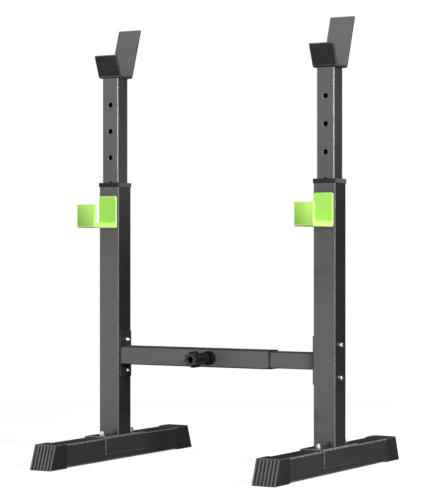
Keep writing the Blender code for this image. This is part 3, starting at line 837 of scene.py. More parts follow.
# Its dark rim paints shade along the beam's rounded edges, with some wear; the sliding coat copies it.
BEAM_COAT = PowderCoat(
    title="beam_coat", colour=(0.1020, 0.1022, 0.1038), pale=(0.1120, 0.1122, 0.1144),
    rim=(0.0140, 0.0142, 0.0150), rim_least=0.7, rim_roughness=0.45, roughness=(0.38, 0.46), reflection=0.25)
SLIDING_COAT = replace(BEAM_COAT, title="sliding_coat", rubbed=0.12, rub_stretch=(0.02, 1.0, 1.0))
BRACKET_COAT = PowderCoat(
    title="bracket_coat", colour=(0.0160, 0.0162, 0.0170), pale=(0.0230, 0.0232, 0.0245),
    rim=(0.0300, 0.0302, 0.0315), reflection=0.25)
BLACK = MouldedPlastic()
SHOE_BLACK = MouldedPlastic(
    title="shoe_black", colour=(0.006, 0.006, 0.0063), pale=(0.009, 0.009, 0.0095),
    rim=(0.060, 0.060, 0.061), roughness=(0.32, 0.42), reflection=0.95, texture_depth=0.00002)
KNOB_BLACK = MouldedPlastic(
    title="knob_black", colour=(0.004, 0.004, 0.0042), pale=(0.007, 0.007, 0.0072),
    rim=(0.012, 0.012, 0.0125), roughness=(0.38, 0.48), reflection=0.32, texture_depth=0.00002)
# Painted shade: the beam's mouth ring and the clamp boss are made near-black with almost no reflection, as
# they lie in shade of the ring's gap and of the knob.
PAINTED_SHADE_BLACK = MouldedPlastic(
    title="deep_black", colour=(0.004, 0.004, 0.0042), pale=(0.006, 0.006, 0.0062),
    rim=(0.010, 0.010, 0.0105), roughness=(0.5, 0.6), reflection=0.06, texture_depth=0.00002)
# Its pale side colour paints light on the collar's faces that look along X.
MATT_BLACK = MouldedPlastic(
    title="matt_black", colour=(0.022, 0.022, 0.0227), pale=(0.029, 0.029, 0.0297),
    rim=(0.040, 0.040, 0.0413), side=(0.066, 0.066, 0.067), roughness=(0.72, 0.85), reflection=0.12)
GREEN = GreenCoat()
ZINC = ZincPlate()


@dataclass
class Piece:
    """A modelled piece with what the frame must know of it."""

    work: Workpiece
    label: str
    finish: Finish
    body: str
    node: str

    def fit(self, side: Optional[Side]) -> None:
        """Finishes a copy of the piece and puts it on its body in the place of its CAD node.

        Args:
            side: The side that gets the copy, or None for a piece of the beam.
        """
        prefix = f"{side.value}_" if side is not None else ""
        place = side.placing if side is not None else Matrix.Identity(4)
        work = self.work.copied(place).faced().shaded().edged()
        obj = work.obj
        obj.name = f"{prefix}{self.label}"
        obj.data.name = obj.name
        obj.data.materials.clear()
        obj.data.materials.append(self.finish.material())
        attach(obj, f"{prefix}{self.body}")
        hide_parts(f"{prefix}{self.node}")
        log.info("%s: %d faces, %d open edges, %s, on %s", obj.name, len(obj.data.polygons),
                 work.open_edges(), self.finish.slot, f"{prefix}{self.body}")


class Group:
    """Pieces that are modelled together."""

    sides: ClassVar[tuple[Optional[Side], ...]] = (None,)

    def build(self) -> list[Piece]:
        """Models the group's pieces."""
        raise NotImplementedError

    def dress(self) -> int:
        """Fits each piece where it belongs.

        Returns:
            How many were fitted.
        """
        pieces = self.build()
        for piece in pieces:
            for side in self.sides:
                piece.fit(side)
            piece.work.scrap()
        return len(pieces) * len(self.sides)


class SideGroup(Group):
    """Pieces that both sides of the rack have, modelled round the left upright's axis."""

    sides: ClassVar[tuple[Optional[Side], ...]] = tuple(Side)


def square_tube(room: Room, axis: Along, corner: float, wall: float) -> Workpiece:
    """Makes a length of square tube: a bar whose ends are inset and bridged.

    Args:
        room: The space that it fills.
        axis: The axis that it runs along.
        corner: The radius of its outer corners.
        wall: The thickness of its wall.

    Returns:
        The tube.
    """
    tube = Workpiece.block(room.low, room.high).round(runs_along(axis), corner)
    tube.open(Kind.FACE, lambda face: abs(face.normal[axis.value]) > FACING)
    bpy.ops.mesh.inset(thickness=wall, use_even_offset=True)
    bpy.ops.mesh.bridge_edge_loops()
    return tube.close()


def square_plug(room: Room, axis: Along, flange: float, corner: float, spigot: float) -> Workpiece:
    """Makes a square moulded plug: a flange with a smaller spigot.

    Args:
        room: The space that it fills.
        axis: The axis that the spigot points along.
        flange: The thickness of the flange.
        corner: The radius of the flange's corners.
        spigot: The size of the spigot across its flats.

    Returns:
        The plug.
    """
    top = room.high.copy()
    top[axis.value] = room.low[axis.value] + flange
    plug = Workpiece.block(room.low, top).round(runs_along(axis), corner, 4)
    plug.open(Kind.FACE, faces_to(axis.unit))
    bpy.ops.mesh.inset(thickness=(max(top - room.low) - spigot) / 2, use_even_offset=True)
    reach = axis.unit * (room.high[axis.value] - top[axis.value])
    bpy.ops.mesh.extrude_region_move(TRANSFORM_OT_translate={"value": reach})
    return plug.close()


def thread(outer: float, root: float, start: float, pitch: float, turns: int) -> list[Pair]:
    """Gives the profile of a cut thread, each turn a groove and a crest.

    Args:
        outer: The radius over the crests.
        root: The radius in the grooves.
        start: The height that it starts at.
        pitch: The height of a turn.
        turns: How many turns it has.

    Returns:
        Radius and height of each point.
    """
    starts = [start + turn * pitch for turn in range(turns)]
    groove = list(zip((root, root, outer, outer), THREAD_SHARES))
    return [(radius, low + pitch * share) for low in starts for radius, share in groove]


@dataclass(frozen=True)
class Fastener:
    """The hexagon bolts and nuts of the rack, modelled along Z from the bolt head's seat."""

    diameter: float = 0.006
    pitch: float = 0.001
    thread_depth: float = 0.0004
    tip: float = 0.0008
    flats: float = 0.010
    over_corners: float = 1.02
    seat: float = 0.0082
    cone: float = math.radians(40.0)
    head: float = 0.0045
    washer: float = 0.0094
    washer_height: float = 0.0006
    washer_gap: float = 0.0002
    nut_height: float = 0.0065
    mouth: float = 0.0006
    flange: float = 0.0142
    flange_height: float = 0.0016
    flange_edge: float = 0.0003
    flange_shares: tuple[float, ...] = (0.4, 0.55, 0.75, 1.6)
    clearance: float = 0.0003
    hole: float = 0.0068

    def hexagon(self, low: float, high: float, low_cone: bool, high_cone: bool) -> Workpiece:
        """Makes a hexagon with coned corners.

        Args:
            low: Its lower end.
            high: Its upper end.
            low_cone: Whether its lower corners are coned off.
            high_cone: Whether its upper corners are coned off.

        Returns:
            The hexagon.
        """
        corner = self.flats / math.sqrt(3.0)
        over = corner * self.over_corners
        seat = self.seat / 2
        drop = (over - seat) * math.tan(self.cone)
        lower = [(seat, low), (over, low + drop)] if low_cone else [(over, low)]
        upper = [(over, high - drop), (seat, high)] if high_cone else [(over, high)]
        prism = Workpiece.rod((0.0, 0.0, low - PAST / 2), (0.0, 0.0, high + PAST / 2), 2 * corner, 6)
        return prism.combine(Joining.KEEP, Workpiece.turned([(0.0, low), *lower, *upper, (0.0, high)], 60))

    def shank(self, low: float, high: float, threaded: float) -> Workpiece:
        """Makes a shank with a cut thread and a coned end.

        Args:
            low: Where the shank starts.
            high: Where it ends.
            threaded: How much of its end is threaded.

        Returns:
            The shank.
        """
        outer = self.diameter / 2
        start = high - threaded
        turns = int((threaded - self.tip) / self.pitch)
        return Workpiece.turned([
            (0.0, low), (outer, low), (outer, start),
            *thread(outer, outer - self.thread_depth, start, self.pitch, turns),
            (outer, high - self.tip), (outer - self.tip, high), (0.0, high)], 32)

    def bolt(self, length: float, threaded: float) -> Workpiece:
        """Makes a bolt whose head ends at the origin and whose shank points up.

        Args:
            length: The length of the shank.
            threaded: How much of it is threaded.

        Returns:
            The bolt.
        """
        head = self.hexagon(-self.head, -self.washer_gap, True, False)
        rim, low = self.washer / 2, -self.washer_height
        washer = Workpiece.turned([(0.0, low), (rim, low), (rim, 0.0), (0.0, 0.0)])
        return head.add(washer, self.shank(-self.head / 2, length, threaded))

    def nut(self) -> Workpiece:
        """Makes a plain nut that stands on the origin."""
        return self.hexagon(0.0, self.nut_height, True, True).cut(self.bore(self.nut_height))

    def flange_nut(self) -> Workpiece:
        """Makes a nut on a round flange that stands on the origin."""
        edge, rim, top = self.flange_edge, self.flange / 2, self.flange_height + self.nut_height
        foot, side, shoulder, crown = (self.flange_height * share for share in self.flange_shares)
        body = self.hexagon(foot, top, False, True)
        skirt = Workpiece.turned([
            (0.0, 0.0), (rim - edge, 0.0), (rim, edge), (rim, side), (rim - edge, shoulder),
            (self.flats / 2, crown), (0.0, crown)])
        return body.add(skirt).cut(self.bore(top))

    def bore(self, top: float) -> Workpiece:
        """Makes the tool for a nut's bore, with a cone at both ends.

        Args:
            top: The height of the nut.

        Returns:
            The tool.
        """
        inner, past = self.diameter / 2 + self.clearance, PAST / 2
        wide = inner + self.mouth + past
        return Workpiece.turned([
            (0.0, -past), (wide, -past), (inner, self.mouth), (inner, top - self.mouth), (wide, top + past),
            (0.0, top + past)])

    def saddle_drills(self, top: float, depth: float) -> list[Workpiece]:
        """Makes the tools for the saddle bolts' holes, from over a face down to a depth."""
        places = [Room.beside(f"saddle_bolt_{end}").middle.y for end in SADDLE_ENDS]
        return [Workpiece.rod((0.0, y, top - depth), (0.0, y, top + PAST), self.hole) for y in places]

    def bracket_drills(self, start: float, end: float) -> list[Workpiece]:
        """Makes the tools for the bracket bolts' holes, from one X to another."""
        places = [Room.beside(f"bracket_nut_{level}").middle.z for level in BRACKET_LEVELS]
        return [Workpiece.rod((start, 0.0, z), (end, 0.0, z), self.hole) for z in places]


FASTENER = Fastener()


def fixings(
        part: str, ends: Sequence[str], axis: Along, threaded: float, bolt_label: str,
        nut_label: str) -> list[Piece]:
    """Models the two bolts that hold a part, and their nuts.

    Args:
        part: The part that they hold.
        ends: The names of its two places.
        axis: The axis that the bolts point along, X or Z.
        threaded: How much of a bolt is threaded.
        bolt_label: What the bolts are called.
        nut_label: What the nuts are called.

    Returns:
        The bolts and nuts.
    """
    turn = Along.Y.turn(math.pi / 2 if axis is Along.X else 0.0)
    pieces = []
    for end in ends:
        bolt, nut = Room.beside(f"{part}_bolt_{end}"), Room.beside(f"{part}_nut_{end}")
        seat, foot = bolt.middle, nut.middle
        seat[axis.value] = bolt.low[axis.value] + FASTENER.head
        foot[axis.value] = nut.low[axis.value]
        screw = FASTENER.bolt(bolt.high[axis.value] - seat[axis.value], threaded)
        ring = FASTENER.flange_nut() if axis is Along.Z else FASTENER.nut()
        for work, place, label, node in ((screw, seat, bolt_label, "bolt"), (ring, foot, nut_label, "nut")):
            work.placed(Matrix.Translation(place) @ turn)
            pieces.append(Piece(work, f"{label}_{end}", ZINC, "frame", f"{part}_{node}_{end}"))
    return pieces


@dataclass
class Foot(SideGroup):
    """A long foot: a square tube with a ribbed moulded shoe on each end."""

    corner: float = 0.003
    wall: float = 0.0015
    drilled: float = 0.004
    shoe_corner: float = 0.0025
    shoe_edge: float = 0.0005
    shoe_sharp: float = 40.0
    shoe_play: float = 0.0003
    slant: float = 0.0195
    ribs: int = 7
    groove_depth: float = 0.0035
    groove_corner: float = 0.0008
    groove_reach: Pair = (-0.03, 0.08)

    def build(self) -> list[Piece]:
        """Models the tube and both shoes."""
        front = self.shoe()
        rear = front.copied(Along.Z.turn(math.pi))
        return [
            Piece(self.rail(), "foot_rail", FOOT_COAT, "frame", "foot_tube"),
            Piece(front, "foot_shoe_front", SHOE_BLACK, "frame", "foot_cap_front"),
            Piece(rear, "foot_shoe_rear", SHOE_BLACK, "frame", "foot_cap_rear"),
        ]

    def rail(self) -> Workpiece:
        """Models the tube with its bolt holes."""
        room = Room.beside("foot_tube")
        tube = square_tube(room, Along.Y, self.corner, self.wall)
        return tube.cut(*FASTENER.saddle_drills(room.high.z, self.drilled))

    def shoe(self) -> Workpiece:
        """Models the front shoe: slanted, bored for the tube and grooved into ribs."""
        room, tube = Room.beside("foot_cap_front"), Room.beside("foot_tube")
        shoe = Workpiece.block(room.low, room.high)
        brow = runs_along(Along.X, between(Along.Y, high=room.low.y), between(Along.Z, room.high.z))
        shoe.shape(Kind.EDGE, brow, bpy.ops.transform.translate, value=(0.0, self.slant, 0.0))
        shoe.round(runs_along(Along.Y), self.shoe_corner, 4)
        width = tube.size.x + 2 * self.shoe_play
        bore = Workpiece.bar(
            Along.Y, tube.middle, width, tube.low.y - self.shoe_play, room.high.y + PAST, self.corner)
        return shoe.cut(bore, *self.grooves(room)).soften(self.shoe_edge, 2, self.shoe_sharp)

    def grooves(self, room: Room) -> list[Workpiece]:
        """Models the tools that cut the grooves between the ribs.

        Args:
            room: The space of the shoe.

        Returns:
            The tools.
        """
        rib = room.size.x / (2 * self.ribs - 1)
        depth = self.groove_depth
        low, high = self.groove_reach
        tool = Workpiece.block((-rib / 2, -depth, low), (rib / 2, depth, high))
        tool.round(runs_along(Along.Z, between(Along.Y, 0.0)), self.groove_corner, 3)
        lean = Along.X.turn(-math.atan(self.slant / room.size.z))
        tool.placed(Matrix.Translation((room.low.x + 1.5 * rib, room.low.y, 0.0)) @ lean)
        return tool.row((2 * rib, 0.0, 0.0), self.ribs - 1)


@dataclass
class Saddle(SideGroup):
    """The inverted U that the upright stands on, bolted down on the foot."""

    thickness: float = 0.003
    shoulder: float = 0.004
    edge: float = 0.0011
    drilled: float = 0.006
    threaded: float = 0.012

    def build(self) -> list[Piece]:
        """Models the saddle, its studs and its flange nuts."""
        return [
            Piece(self.plate(), "saddle_plate", FOOT_COAT, "frame", "saddle"),
            *fixings("saddle", SADDLE_ENDS, Along.Z, self.threaded, "stud", "flange_nut"),
        ]

    def plate(self) -> Workpiece:
        """Models the bent plate with its bolt holes."""
        room = Room.beside("saddle")
        plate = Workpiece.block(room.low, room.high)
        plate.shape(
            Kind.FACE, lambda face: abs(face.normal.y) > FACING or face.normal.z < -FACING,
            bpy.ops.mesh.delete, type="FACE")
        plate.round(runs_along(Along.Y, between(Along.Z, room.high.z)), self.shoulder)
        plate.shape(Kind.FACE, None, bpy.ops.mesh.remove_doubles, threshold=MERGED)
        plate.modify("SOLIDIFY", thickness=self.thickness, offset=-1.0, use_even_offset=True)
        return plate.cut(*FASTENER.saddle_drills(room.high.z, self.drilled)).soften(self.edge, 3)


@dataclass
class Upright(SideGroup):
    """The outer upright with its collar and its green bar hook."""

    corner: float = 0.0018
    wall: float = 0.0015
    drilled: float = 0.03
    pin_hole: float = 0.012
    collar_corner: float = 0.004
    collar_rim: float = 0.0012
    collar_edge: float = 0.0004
    collar_thickness: float = 0.008
    collar_lip: float = 0.0005
    collar_skirt: float = 0.0016
    skirt_play: float = 0.0001
    skirt_reach: float = 0.004
    sleeve: float = 0.0464
    sleeve_corner: float = 0.0015
    bore: float = 0.0408
    bore_corner: float = 0.0025
    hook_plate: float = 0.006
    hook_shelf: float = 0.011
    hook_flap: float = 0.0097
    hook_flap_height: float = 0.0504
    hook_fillet: float = 0.003
    hook_heel: float = 0.004
    hook_corner: float = 0.0042
    hook_flap_corner: float = 0.0014
    hook_edge: float = 0.0017

    def build(self) -> list[Piece]:
        """Models the tube, the collar and the hook."""
        return [
            Piece(self.tube(), "upright_tube", POWDER, "frame", "outer_upright"),
            Piece(self.collar(), "collar_ring", MATT_BLACK, "frame", "collar"),
            Piece(self.hook(), "hook_moulding", GREEN, "frame", "bar_hook"),
        ]

    def tube(self) -> Workpiece:
        """Models the tube with the holes for the bracket bolts and the height pin."""
        tube = square_tube(Room.beside("outer_upright"), Along.Z, self.corner, self.wall)
        tube.cut(*FASTENER.bracket_drills(-self.drilled, self.drilled))
        z = Room.beside("pin_boss").middle.z
        return tube.cut(Workpiece.rod((0.0, 0.0, z), (0.0, self.drilled, z), self.pin_hole))

    def collar(self) -> Workpiece:
        """Models the moulded collar: a flange with a skirt and a sleeve below, and a square bore."""
        room, upright, lip = Room.beside("collar"), Room.beside("outer_upright"), self.collar_lip
        low, high = room.low, room.high
        seat = high.z - self.collar_thickness
        collar = Workpiece.block(
            (low.x - lip, low.y - lip, seat - self.collar_skirt), (high.x + lip, high.y + lip, high.z))
        collar.round(runs_along(Along.Z), self.collar_corner, 6)
        collar.round(between(Along.Z, high.z), self.collar_rim, 3)

        def bar(width: float, start: float, end: float, corner: float, steps: int = 4) -> Workpiece:
            """Makes a bar up the upright's axis, as Workpiece.bar does."""
            return Workpiece.bar(Along.Z, Vector(), width, start, end, corner, steps)

        width = upright.size.x + 2 * self.skirt_play
        collar.cut(bar(width, seat - self.skirt_reach, seat, self.corner))
        collar.add(bar(self.sleeve, low.z, seat + PAST, self.sleeve_corner, 3))
        collar.cut(bar(self.bore, low.z - PAST, high.z + PAST, self.bore_corner))
        return collar.soften(self.collar_edge)

    def hook(self) -> Workpiece:
        """Models the J hook: a shelf from which the flap and the back plate are drawn up."""
        room = Room.beside("bar_hook")
        low, high = room.low, room.high
        shelf, flap_top = low.z + self.hook_shelf, low.z + self.hook_flap_height
        flap_face, plate_face = low.y + self.hook_flap, high.y - self.hook_plate
        hook = Workpiece.block(low, (high.x, high.y, shelf))
        for y in (flap_face, plate_face):
            hook.shape(
                Kind.FACE, None, bpy.ops.mesh.bisect, plane_co=(0.0, y, 0.0), plane_no=(0.0, 1.0, 0.0))
        hook.push(faces_to((0, 0, 1), between(Along.Y, high=flap_face)), (0.0, 0.0, flap_top - shelf))
        hook.push(faces_to((0, 0, 1), between(Along.Y, plate_face)), (0.0, 0.0, high.z - shelf))
        inside = between(Along.Y, flap_face, plate_face)
        for test, radius, steps in (
                (runs_along(Along.X, between(Along.Z, shelf, shelf), inside), self.hook_fillet, 4),
                (runs_along(Along.X, between(Along.Z, high=low.z), lambda edge: not inside(edge)),
                 self.hook_heel, 5),
                (runs_along(Along.Y, between(Along.Z, high.z)), self.hook_corner, 6),
                (runs_along(Along.Y, between(Along.Z, flap_top, flap_top)), self.hook_flap_corner, 4)):
            hook.round(test, radius, steps)
        return hook.soften(self.hook_edge, 3)


@dataclass
class Post(SideGroup):
    """The inner upright with its row of holes, its lower guide and the bar cup on its top."""

    corner: float = 0.0018
    wall: float = 0.0015
    hole: float = 0.012
    flare: float = 0.0005
    drilled: float = 0.004
    holes: int = 6
    lowest_hole: float = 0.041
    pitch: float = 0.058
    guide: float = 0.004
    guide_corner: float = 0.0015
    spigot: float = 0.0364
    cup_base: float = 0.0487
    cup_setback: float = 0.002
    cup_thickness: float = 0.005
    cup_bend: float = 0.0075
    cup_corner: float = 0.0012
    cup_tips: float = 0.8
    cup_edge: float = 0.0007
    cup_sharp: float = 50.0
    flap: float = 0.051
    flap_lean: float = math.radians(21.0)
    back: float = 0.1164
    back_lean: float = math.radians(18.5)

    def build(self) -> list[Piece]:
        """Models the tube, its plug and the cup."""
        return [
            Piece(self.tube(), "post_tube", POST_COAT, "post", "inner_upright"),
            Piece(self.plug(), "post_plug", BLACK, "post", "post_guide"),
            Piece(self.cup(), "cup_plate", POWDER, "post", "bar_cup"),
        ]

    def tube(self) -> Workpiece:
        """Models the tube and drills its row of holes through both walls."""
        room = Room.beside("inner_upright")
        tube = square_tube(room, Along.Z, self.corner, self.wall)
        first = Matrix.Translation((0.0, 0.0, room.low.z + self.lowest_hole)) @ Along.X.turn(math.pi / 2)
        return tube.cut(*self.drill(room.size.y / 2).placed(first).row((0.0, 0.0, self.pitch), self.holes))

    def drill(self, face: float) -> Workpiece:
        """Models the tool for a hole through both walls, flared where it comes out.

        Args:
            face: How far the walls are from the tube's middle.

        Returns:
            The tool, along Z.
        """
        inner, flare, end = self.hole / 2, self.flare, face + self.drilled
        middle = flare * ROUNDED
        side = [
            (inner, face - flare), (inner + middle, face - middle), (inner + flare, face),
            (inner + flare, end)]
        lower = [(radius, -height) for radius, height in reversed(side)]
        return Workpiece.turned([(0.0, -end), *lower, *side, (0.0, end)])

    def plug(self) -> Workpiece:
        """Models the moulded plug in the tube's lower end."""
        return square_plug(Room.beside("post_guide"), Along.Z, self.guide, self.guide_corner, self.spigot)

    def cup(self) -> Workpiece:
        """Models the cup: a flat base, bent up at both ends into the flap and the back plate."""
        room = Room.beside("bar_cup")
        floor = room.low.z
        front, rear = self.cup_setback - self.cup_base / 2, self.cup_setback + self.cup_base / 2
        arms = []
        for side, end, lean, length in (
                (-1, front, self.flap_lean, self.flap), (1, rear, self.back_lean, self.back)):
            setback = self.cup_bend / math.tan((math.pi / 2 + lean) / 2)
            arms.append((side, end - side * setback, lean, length - setback))
        cup = Workpiece.block(
            (room.low.x, arms[0][1], floor), (room.high.x, arms[1][1], floor + self.cup_thickness))
        for side, start, lean, length in arms:
            centre = (0.0, start, floor + self.cup_bend)
            cup.bend(faces_to((0, side, 0)), centre, side * (math.pi / 2 - lean))
            way = Vector((0.0, side * math.sin(lean), math.cos(lean)))
            cup.push(faces_to(way, lambda face, at=side: middle_of(face).y * at > 0.0), way * length)
        cup.faced().round(lambda edge: self.is_tip(edge, floor), self.cup_corner, 3)
        return cup.soften(self.cup_edge, 2, self.cup_sharp)

    def is_tip(self, edge: bmesh.types.BMEdge, floor: float) -> bool:
        """Tells whether an edge is one of the four short corners of the flap and the back plate."""
        is_high = middle_of(edge).z > floor + self.flap * self.cup_tips
        return is_high and abs(edge.calc_length() - self.cup_thickness) < 10 * NEAR


@dataclass
class HeightLock(SideGroup):
    """The pin that locks the height, and the boss that it slides in."""

    pin: float = 0.010
    bend: float = 0.007
    nose: float = 0.0014
    tail: float = 0.0012
    straight_end: float = 0.0423
    least_end: float = 4e-5
    boss_edge: float = 0.0008
    bore: float = 0.0108

    def build(self) -> list[Piece]:
        """Models the boss and the pin."""
        return [
            Piece(self.boss(), "pin_bushing", POWDER, "frame", "pin_boss"),
            Piece(self.rod(), "locking_pin", ZINC, "pin", "height_pin"),
        ]

    def boss(self) -> Workpiece:
        """Models the boss as a turned ring with softened rims."""
        room = Room.beside("pin_boss")
        outer, inner, length, edge = room.size.x / 2, self.bore / 2, room.size.y, self.boss_edge
        mouth, shoulder = edge / 2, edge * ROUNDED
        ring = Workpiece.turned([
            (inner, mouth), (inner + mouth, 0.0), (outer, 0.0), (outer, length - edge),
            (outer - shoulder, length - shoulder), (outer - edge, length), (inner + mouth, length),
            (inner, length - mouth), (inner, mouth)])
        return ring.placed(
            Matrix.Translation((0.0, room.low.y, room.middle.z)) @ Along.X.turn(-math.pi / 2))

    def rod(self) -> Workpiece:
        """Models the L-shaped pin with a coned nose."""
        room = Room.beside("height_pin")
        z = Room.beside("pin_boss").middle.z
        rod = Workpiece.rod((0.0, room.low.y, z), (0.0, self.straight_end, z), self.pin)
        rod.round(between(Along.Y, high=room.low.y), self.nose, 2)
        rod.bend(faces_to((0, 1, 0)), (0.0, self.straight_end, z - self.bend), -math.pi / 2, 10)
        handle = z - self.bend - room.low.z
        rod.push(faces_to((0, 0, -1), lambda face: face.calc_area() > self.least_end), (0.0, 0.0, -handle))
        return rod.faced().round(between(Along.Z, high=room.low.z), self.tail, 3)


@dataclass
class Bracket(SideGroup):
    """The plate at the beam's end with the bolts that hold it to the upright."""

    corner: float = 0.003
    edge: float = 0.0006
    threaded: float = 0.022

    def build(self) -> list[Piece]:
        """Models the plate, the bolts and the nuts."""
        return [
            Piece(self.plate(), "end_plate", BRACKET_COAT, "frame", "bracket"),
            *fixings("bracket", BRACKET_LEVELS, Along.X, self.threaded, "hex_bolt", "hex_nut"),
        ]

    def plate(self) -> Workpiece:
        """Models the plate with rounded corners and two holes."""
        room = Room.beside("bracket")
        plate = Workpiece.block(room.low, room.high).round(runs_along(Along.X), self.corner)
        drills = FASTENER.bracket_drills(room.low.x - PAST, room.high.x + PAST)
        return plate.cut(*drills).soften(self.edge)


@dataclass
class Beam(Group):
    """The telescopic beam between the two sides."""

    outer_corner: float = 0.0025
    inner_corner: float = 0.002
    outer_wall: float = 0.0012
    inner_wall: float = 0.0015
    screw_hole: float = 0.0108
    screw_reach: float = -0.01
    flange: float = 0.0015
    ring_edge: float = 0.0003
    sleeve: float = 0.0370
    sleeve_corner: float = 0.001
    bore: float = 0.0358
    guide: float = 0.003
    guide_corner: float = 0.001
    spigot: float = 0.0314

    def build(self) -> list[Piece]:
        """Models both tubes, the ring in the outer one's mouth and the plug on the inner one."""
        return [
            Piece(self.outer_tube(), "beam_sleeve_tube", BEAM_COAT, "left_frame", "beam_outer_tube"),
            # The mouth ring takes the near-black finish that paints shade.
            Piece(self.mouth_ring(), "beam_mouth_ring", PAINTED_SHADE_BLACK, "left_frame", "beam_bush"),
            Piece(self.inner_tube(), "beam_sliding_tube", SLIDING_COAT, "right_frame", "beam_inner_tube"),
            Piece(self.plug(), "beam_plug", BLACK, "right_frame", "beam_guide"),
        ]

    def outer_tube(self) -> Workpiece:
        """Models the outer tube with the clamp screw's hole."""
        room, screw = Room.of("beam_outer_tube"), Room.of("clamp_screw").middle
        tube = square_tube(room, Along.X, self.outer_corner, self.outer_wall)
        start, end = (screw.x, room.low.y - PAST, screw.z), (screw.x, self.screw_reach, screw.z)
        return tube.cut(Workpiece.rod(start, end, self.screw_hole))

    def inner_tube(self) -> Workpiece:
        """Models the inner tube."""
        return square_tube(Room.of("beam_inner_tube"), Along.X, self.inner_corner, self.inner_wall)

    def mouth_ring(self) -> Workpiece:
        """Models the moulded ring: a thin flange with a sleeve and a square bore."""
        room = Room.of("beam_bush")
        low, high, axis = room.low, room.high, (0.0, 0.0, room.middle.z)
        ring = Workpiece.block((high.x - self.flange, low.y, low.z), high)
        ring.round(runs_along(Along.X), self.outer_corner, 4)
        ring.add(Workpiece.bar(
            Along.X, axis, self.sleeve, low.x, high.x - self.flange / 2, self.sleeve_corner, 2))
        ring.cut(Workpiece.bar(Along.X, axis, self.bore, low.x - PAST, high.x + PAST, self.inner_corner))
        return ring.soften(self.ring_edge)

    def plug(self) -> Workpiece:
        """Models the moulded plug on the inner tube's free end."""
        return square_plug(Room.of("beam_guide"), Along.X, self.guide, self.guide_corner, self.spigot)


@dataclass
class Clamp(Group):
    """The boss on the beam's front, the screw in it and the star knob."""

    boss_edge: float = 0.0015
    boss_steps: int = 4
    boss_mouth: float = 0.0008
    bore: float = 0.0108
    screw: float = 0.010
    screw_tip: float = 0.0012
    plain_end: float = 0.004
    thread_depth: float = 0.0007
    pitch: float = 0.0015
    turns: int = 20
    hub: float = 0.025
    hub_length: float = 0.026
    hub_edge: float = 0.001
    hub_flare: float = 0.0012
    hub_overlap: float = 0.004
    head: float = 0.0345
    head_edge: float = 0.0012
    lobes: int = 8
    lobe_depth: float = 0.0045
    lobe_steps: int = 12
    lobe_turn: float = math.radians(10.0)
    recess: float = 0.013
    recess_depth: float = 0.018
    recess_rim: float = 0.0006
    socket: float = 0.0106
    socket_depth: float = 0.0403

    def build(self) -> list[Piece]:
        """Models the boss, the screw and the knob."""
        return [
            # The clamp boss takes the near-black finish that paints the knob's shade.
            Piece(self.boss(), "clamp_collar", PAINTED_SHADE_BLACK, "left_frame", "clamp_boss"),
            Piece(self.spindle(), "clamp_spindle", ZINC, "clamp_shank", "clamp_screw"),
            Piece(self.knob(), "star_knob", KNOB_BLACK, "clamp_handle", "clamp_knob"),
        ]

    def seat(self, node: str) -> Matrix:
        """Places a piece that stands on the origin at its node's end by the beam, with Z to the lifter."""
        axis = Room.of("clamp_screw").middle
        return Matrix.Translation((axis.x, Room.of(node).high.y, axis.z)) @ Along.X.turn(math.pi / 2)

    def boss(self) -> Workpiece:
        """Models the boss as a turned ring with a rounded front rim."""
        room = Room.of("clamp_boss")
        outer, inner, length, edge = room.size.x / 2, self.bore / 2, room.size.y, self.boss_edge
        turns = [math.pi / 2 * index / self.boss_steps for index in range(self.boss_steps + 1)]
        rim = [
            (outer - edge * (1 - math.cos(turn)), length - edge * (1 - math.sin(turn))) for turn in turns]
        ring = Workpiece.turned([
            (inner, 0.0), (outer, 0.0), *rim, (inner + self.boss_mouth, length),
            (inner, length - self.boss_mouth), (inner, 0.0)], 64)
        return ring.placed(self.seat("clamp_boss"))

    def spindle(self) -> Workpiece:
        """Models the screw with its thread."""
        outer, length = self.screw / 2, Room.of("clamp_screw").size.y
        grooves = thread(outer, outer - self.thread_depth, self.plain_end, self.pitch, self.turns)
        screw = Workpiece.turned([
            (0.0, 0.0), (outer - self.screw_tip, 0.0), (outer, self.screw_tip), (outer, self.plain_end),
            *grooves, (outer, length), (0.0, length)])
        return screw.placed(self.seat("clamp_screw"))

    def knob(self) -> Workpiece:
        """Models the star knob: a lobed head on a round hub, with a recess in its face."""
        length = Room.of("clamp_knob").size.y
        head = self.star(self.hub_length, length)
        recess, floor, past = self.recess / 2, length - self.recess_depth, length + PAST / 2
        head.cut(Workpiece.turned([
            (0.0, floor), (recess, floor), (recess, length - self.recess_rim),
            (recess + self.recess_rim + PAST / 2, past), (0.0, past)], 48))
        hub, edge, flare, end = self.hub / 2, self.hub_edge, self.hub_flare, self.hub_length
        top = end + self.hub_overlap
        head.add(Workpiece.turned([
            (0.0, 0.0), (hub - edge, 0.0), (hub, edge), (hub, end - 3 * edge), (hub + flare / 2, end - edge),
            (hub + flare, top), (0.0, top)], 64))
        socket = Workpiece.rod((0.0, 0.0, -PAST), (0.0, 0.0, self.socket_depth), self.socket, 40)
        return head.cut(socket).placed(self.seat("clamp_knob"))

    def star(self, low: float, high: float) -> Workpiece:
        """Models the head: a rod whose side is drawn in between its pointed lobes.

        Args:
            low: Where the head starts.
            high: Where it ends.

        Returns:
            The head.
        """
        sides = self.lobes * self.lobe_steps
        head = Workpiece.rod((0.0, 0.0, low), (0.0, 0.0, high), self.head, sides)
        step = math.tau / sides
        for index in range(1, self.lobe_steps):
            draw = 1.0 - 2 * self.lobe_depth / self.head * math.sin(math.pi * index / self.lobe_steps)
            head.shape(
                Kind.VERT, lambda vert, at=index: round(
                    math.atan2(vert.co.y, vert.co.x) / step) % self.lobe_steps == at,
                bpy.ops.transform.resize, value=(draw, draw, 1.0), center_override=(0.0, 0.0, 0.0))
        head.placed(Along.Z.turn(self.lobe_turn))
        return head.round(
            lambda edge: abs(edge.verts[0].co.z - edge.verts[1].co.z) < NEAR, self.head_edge, 3)


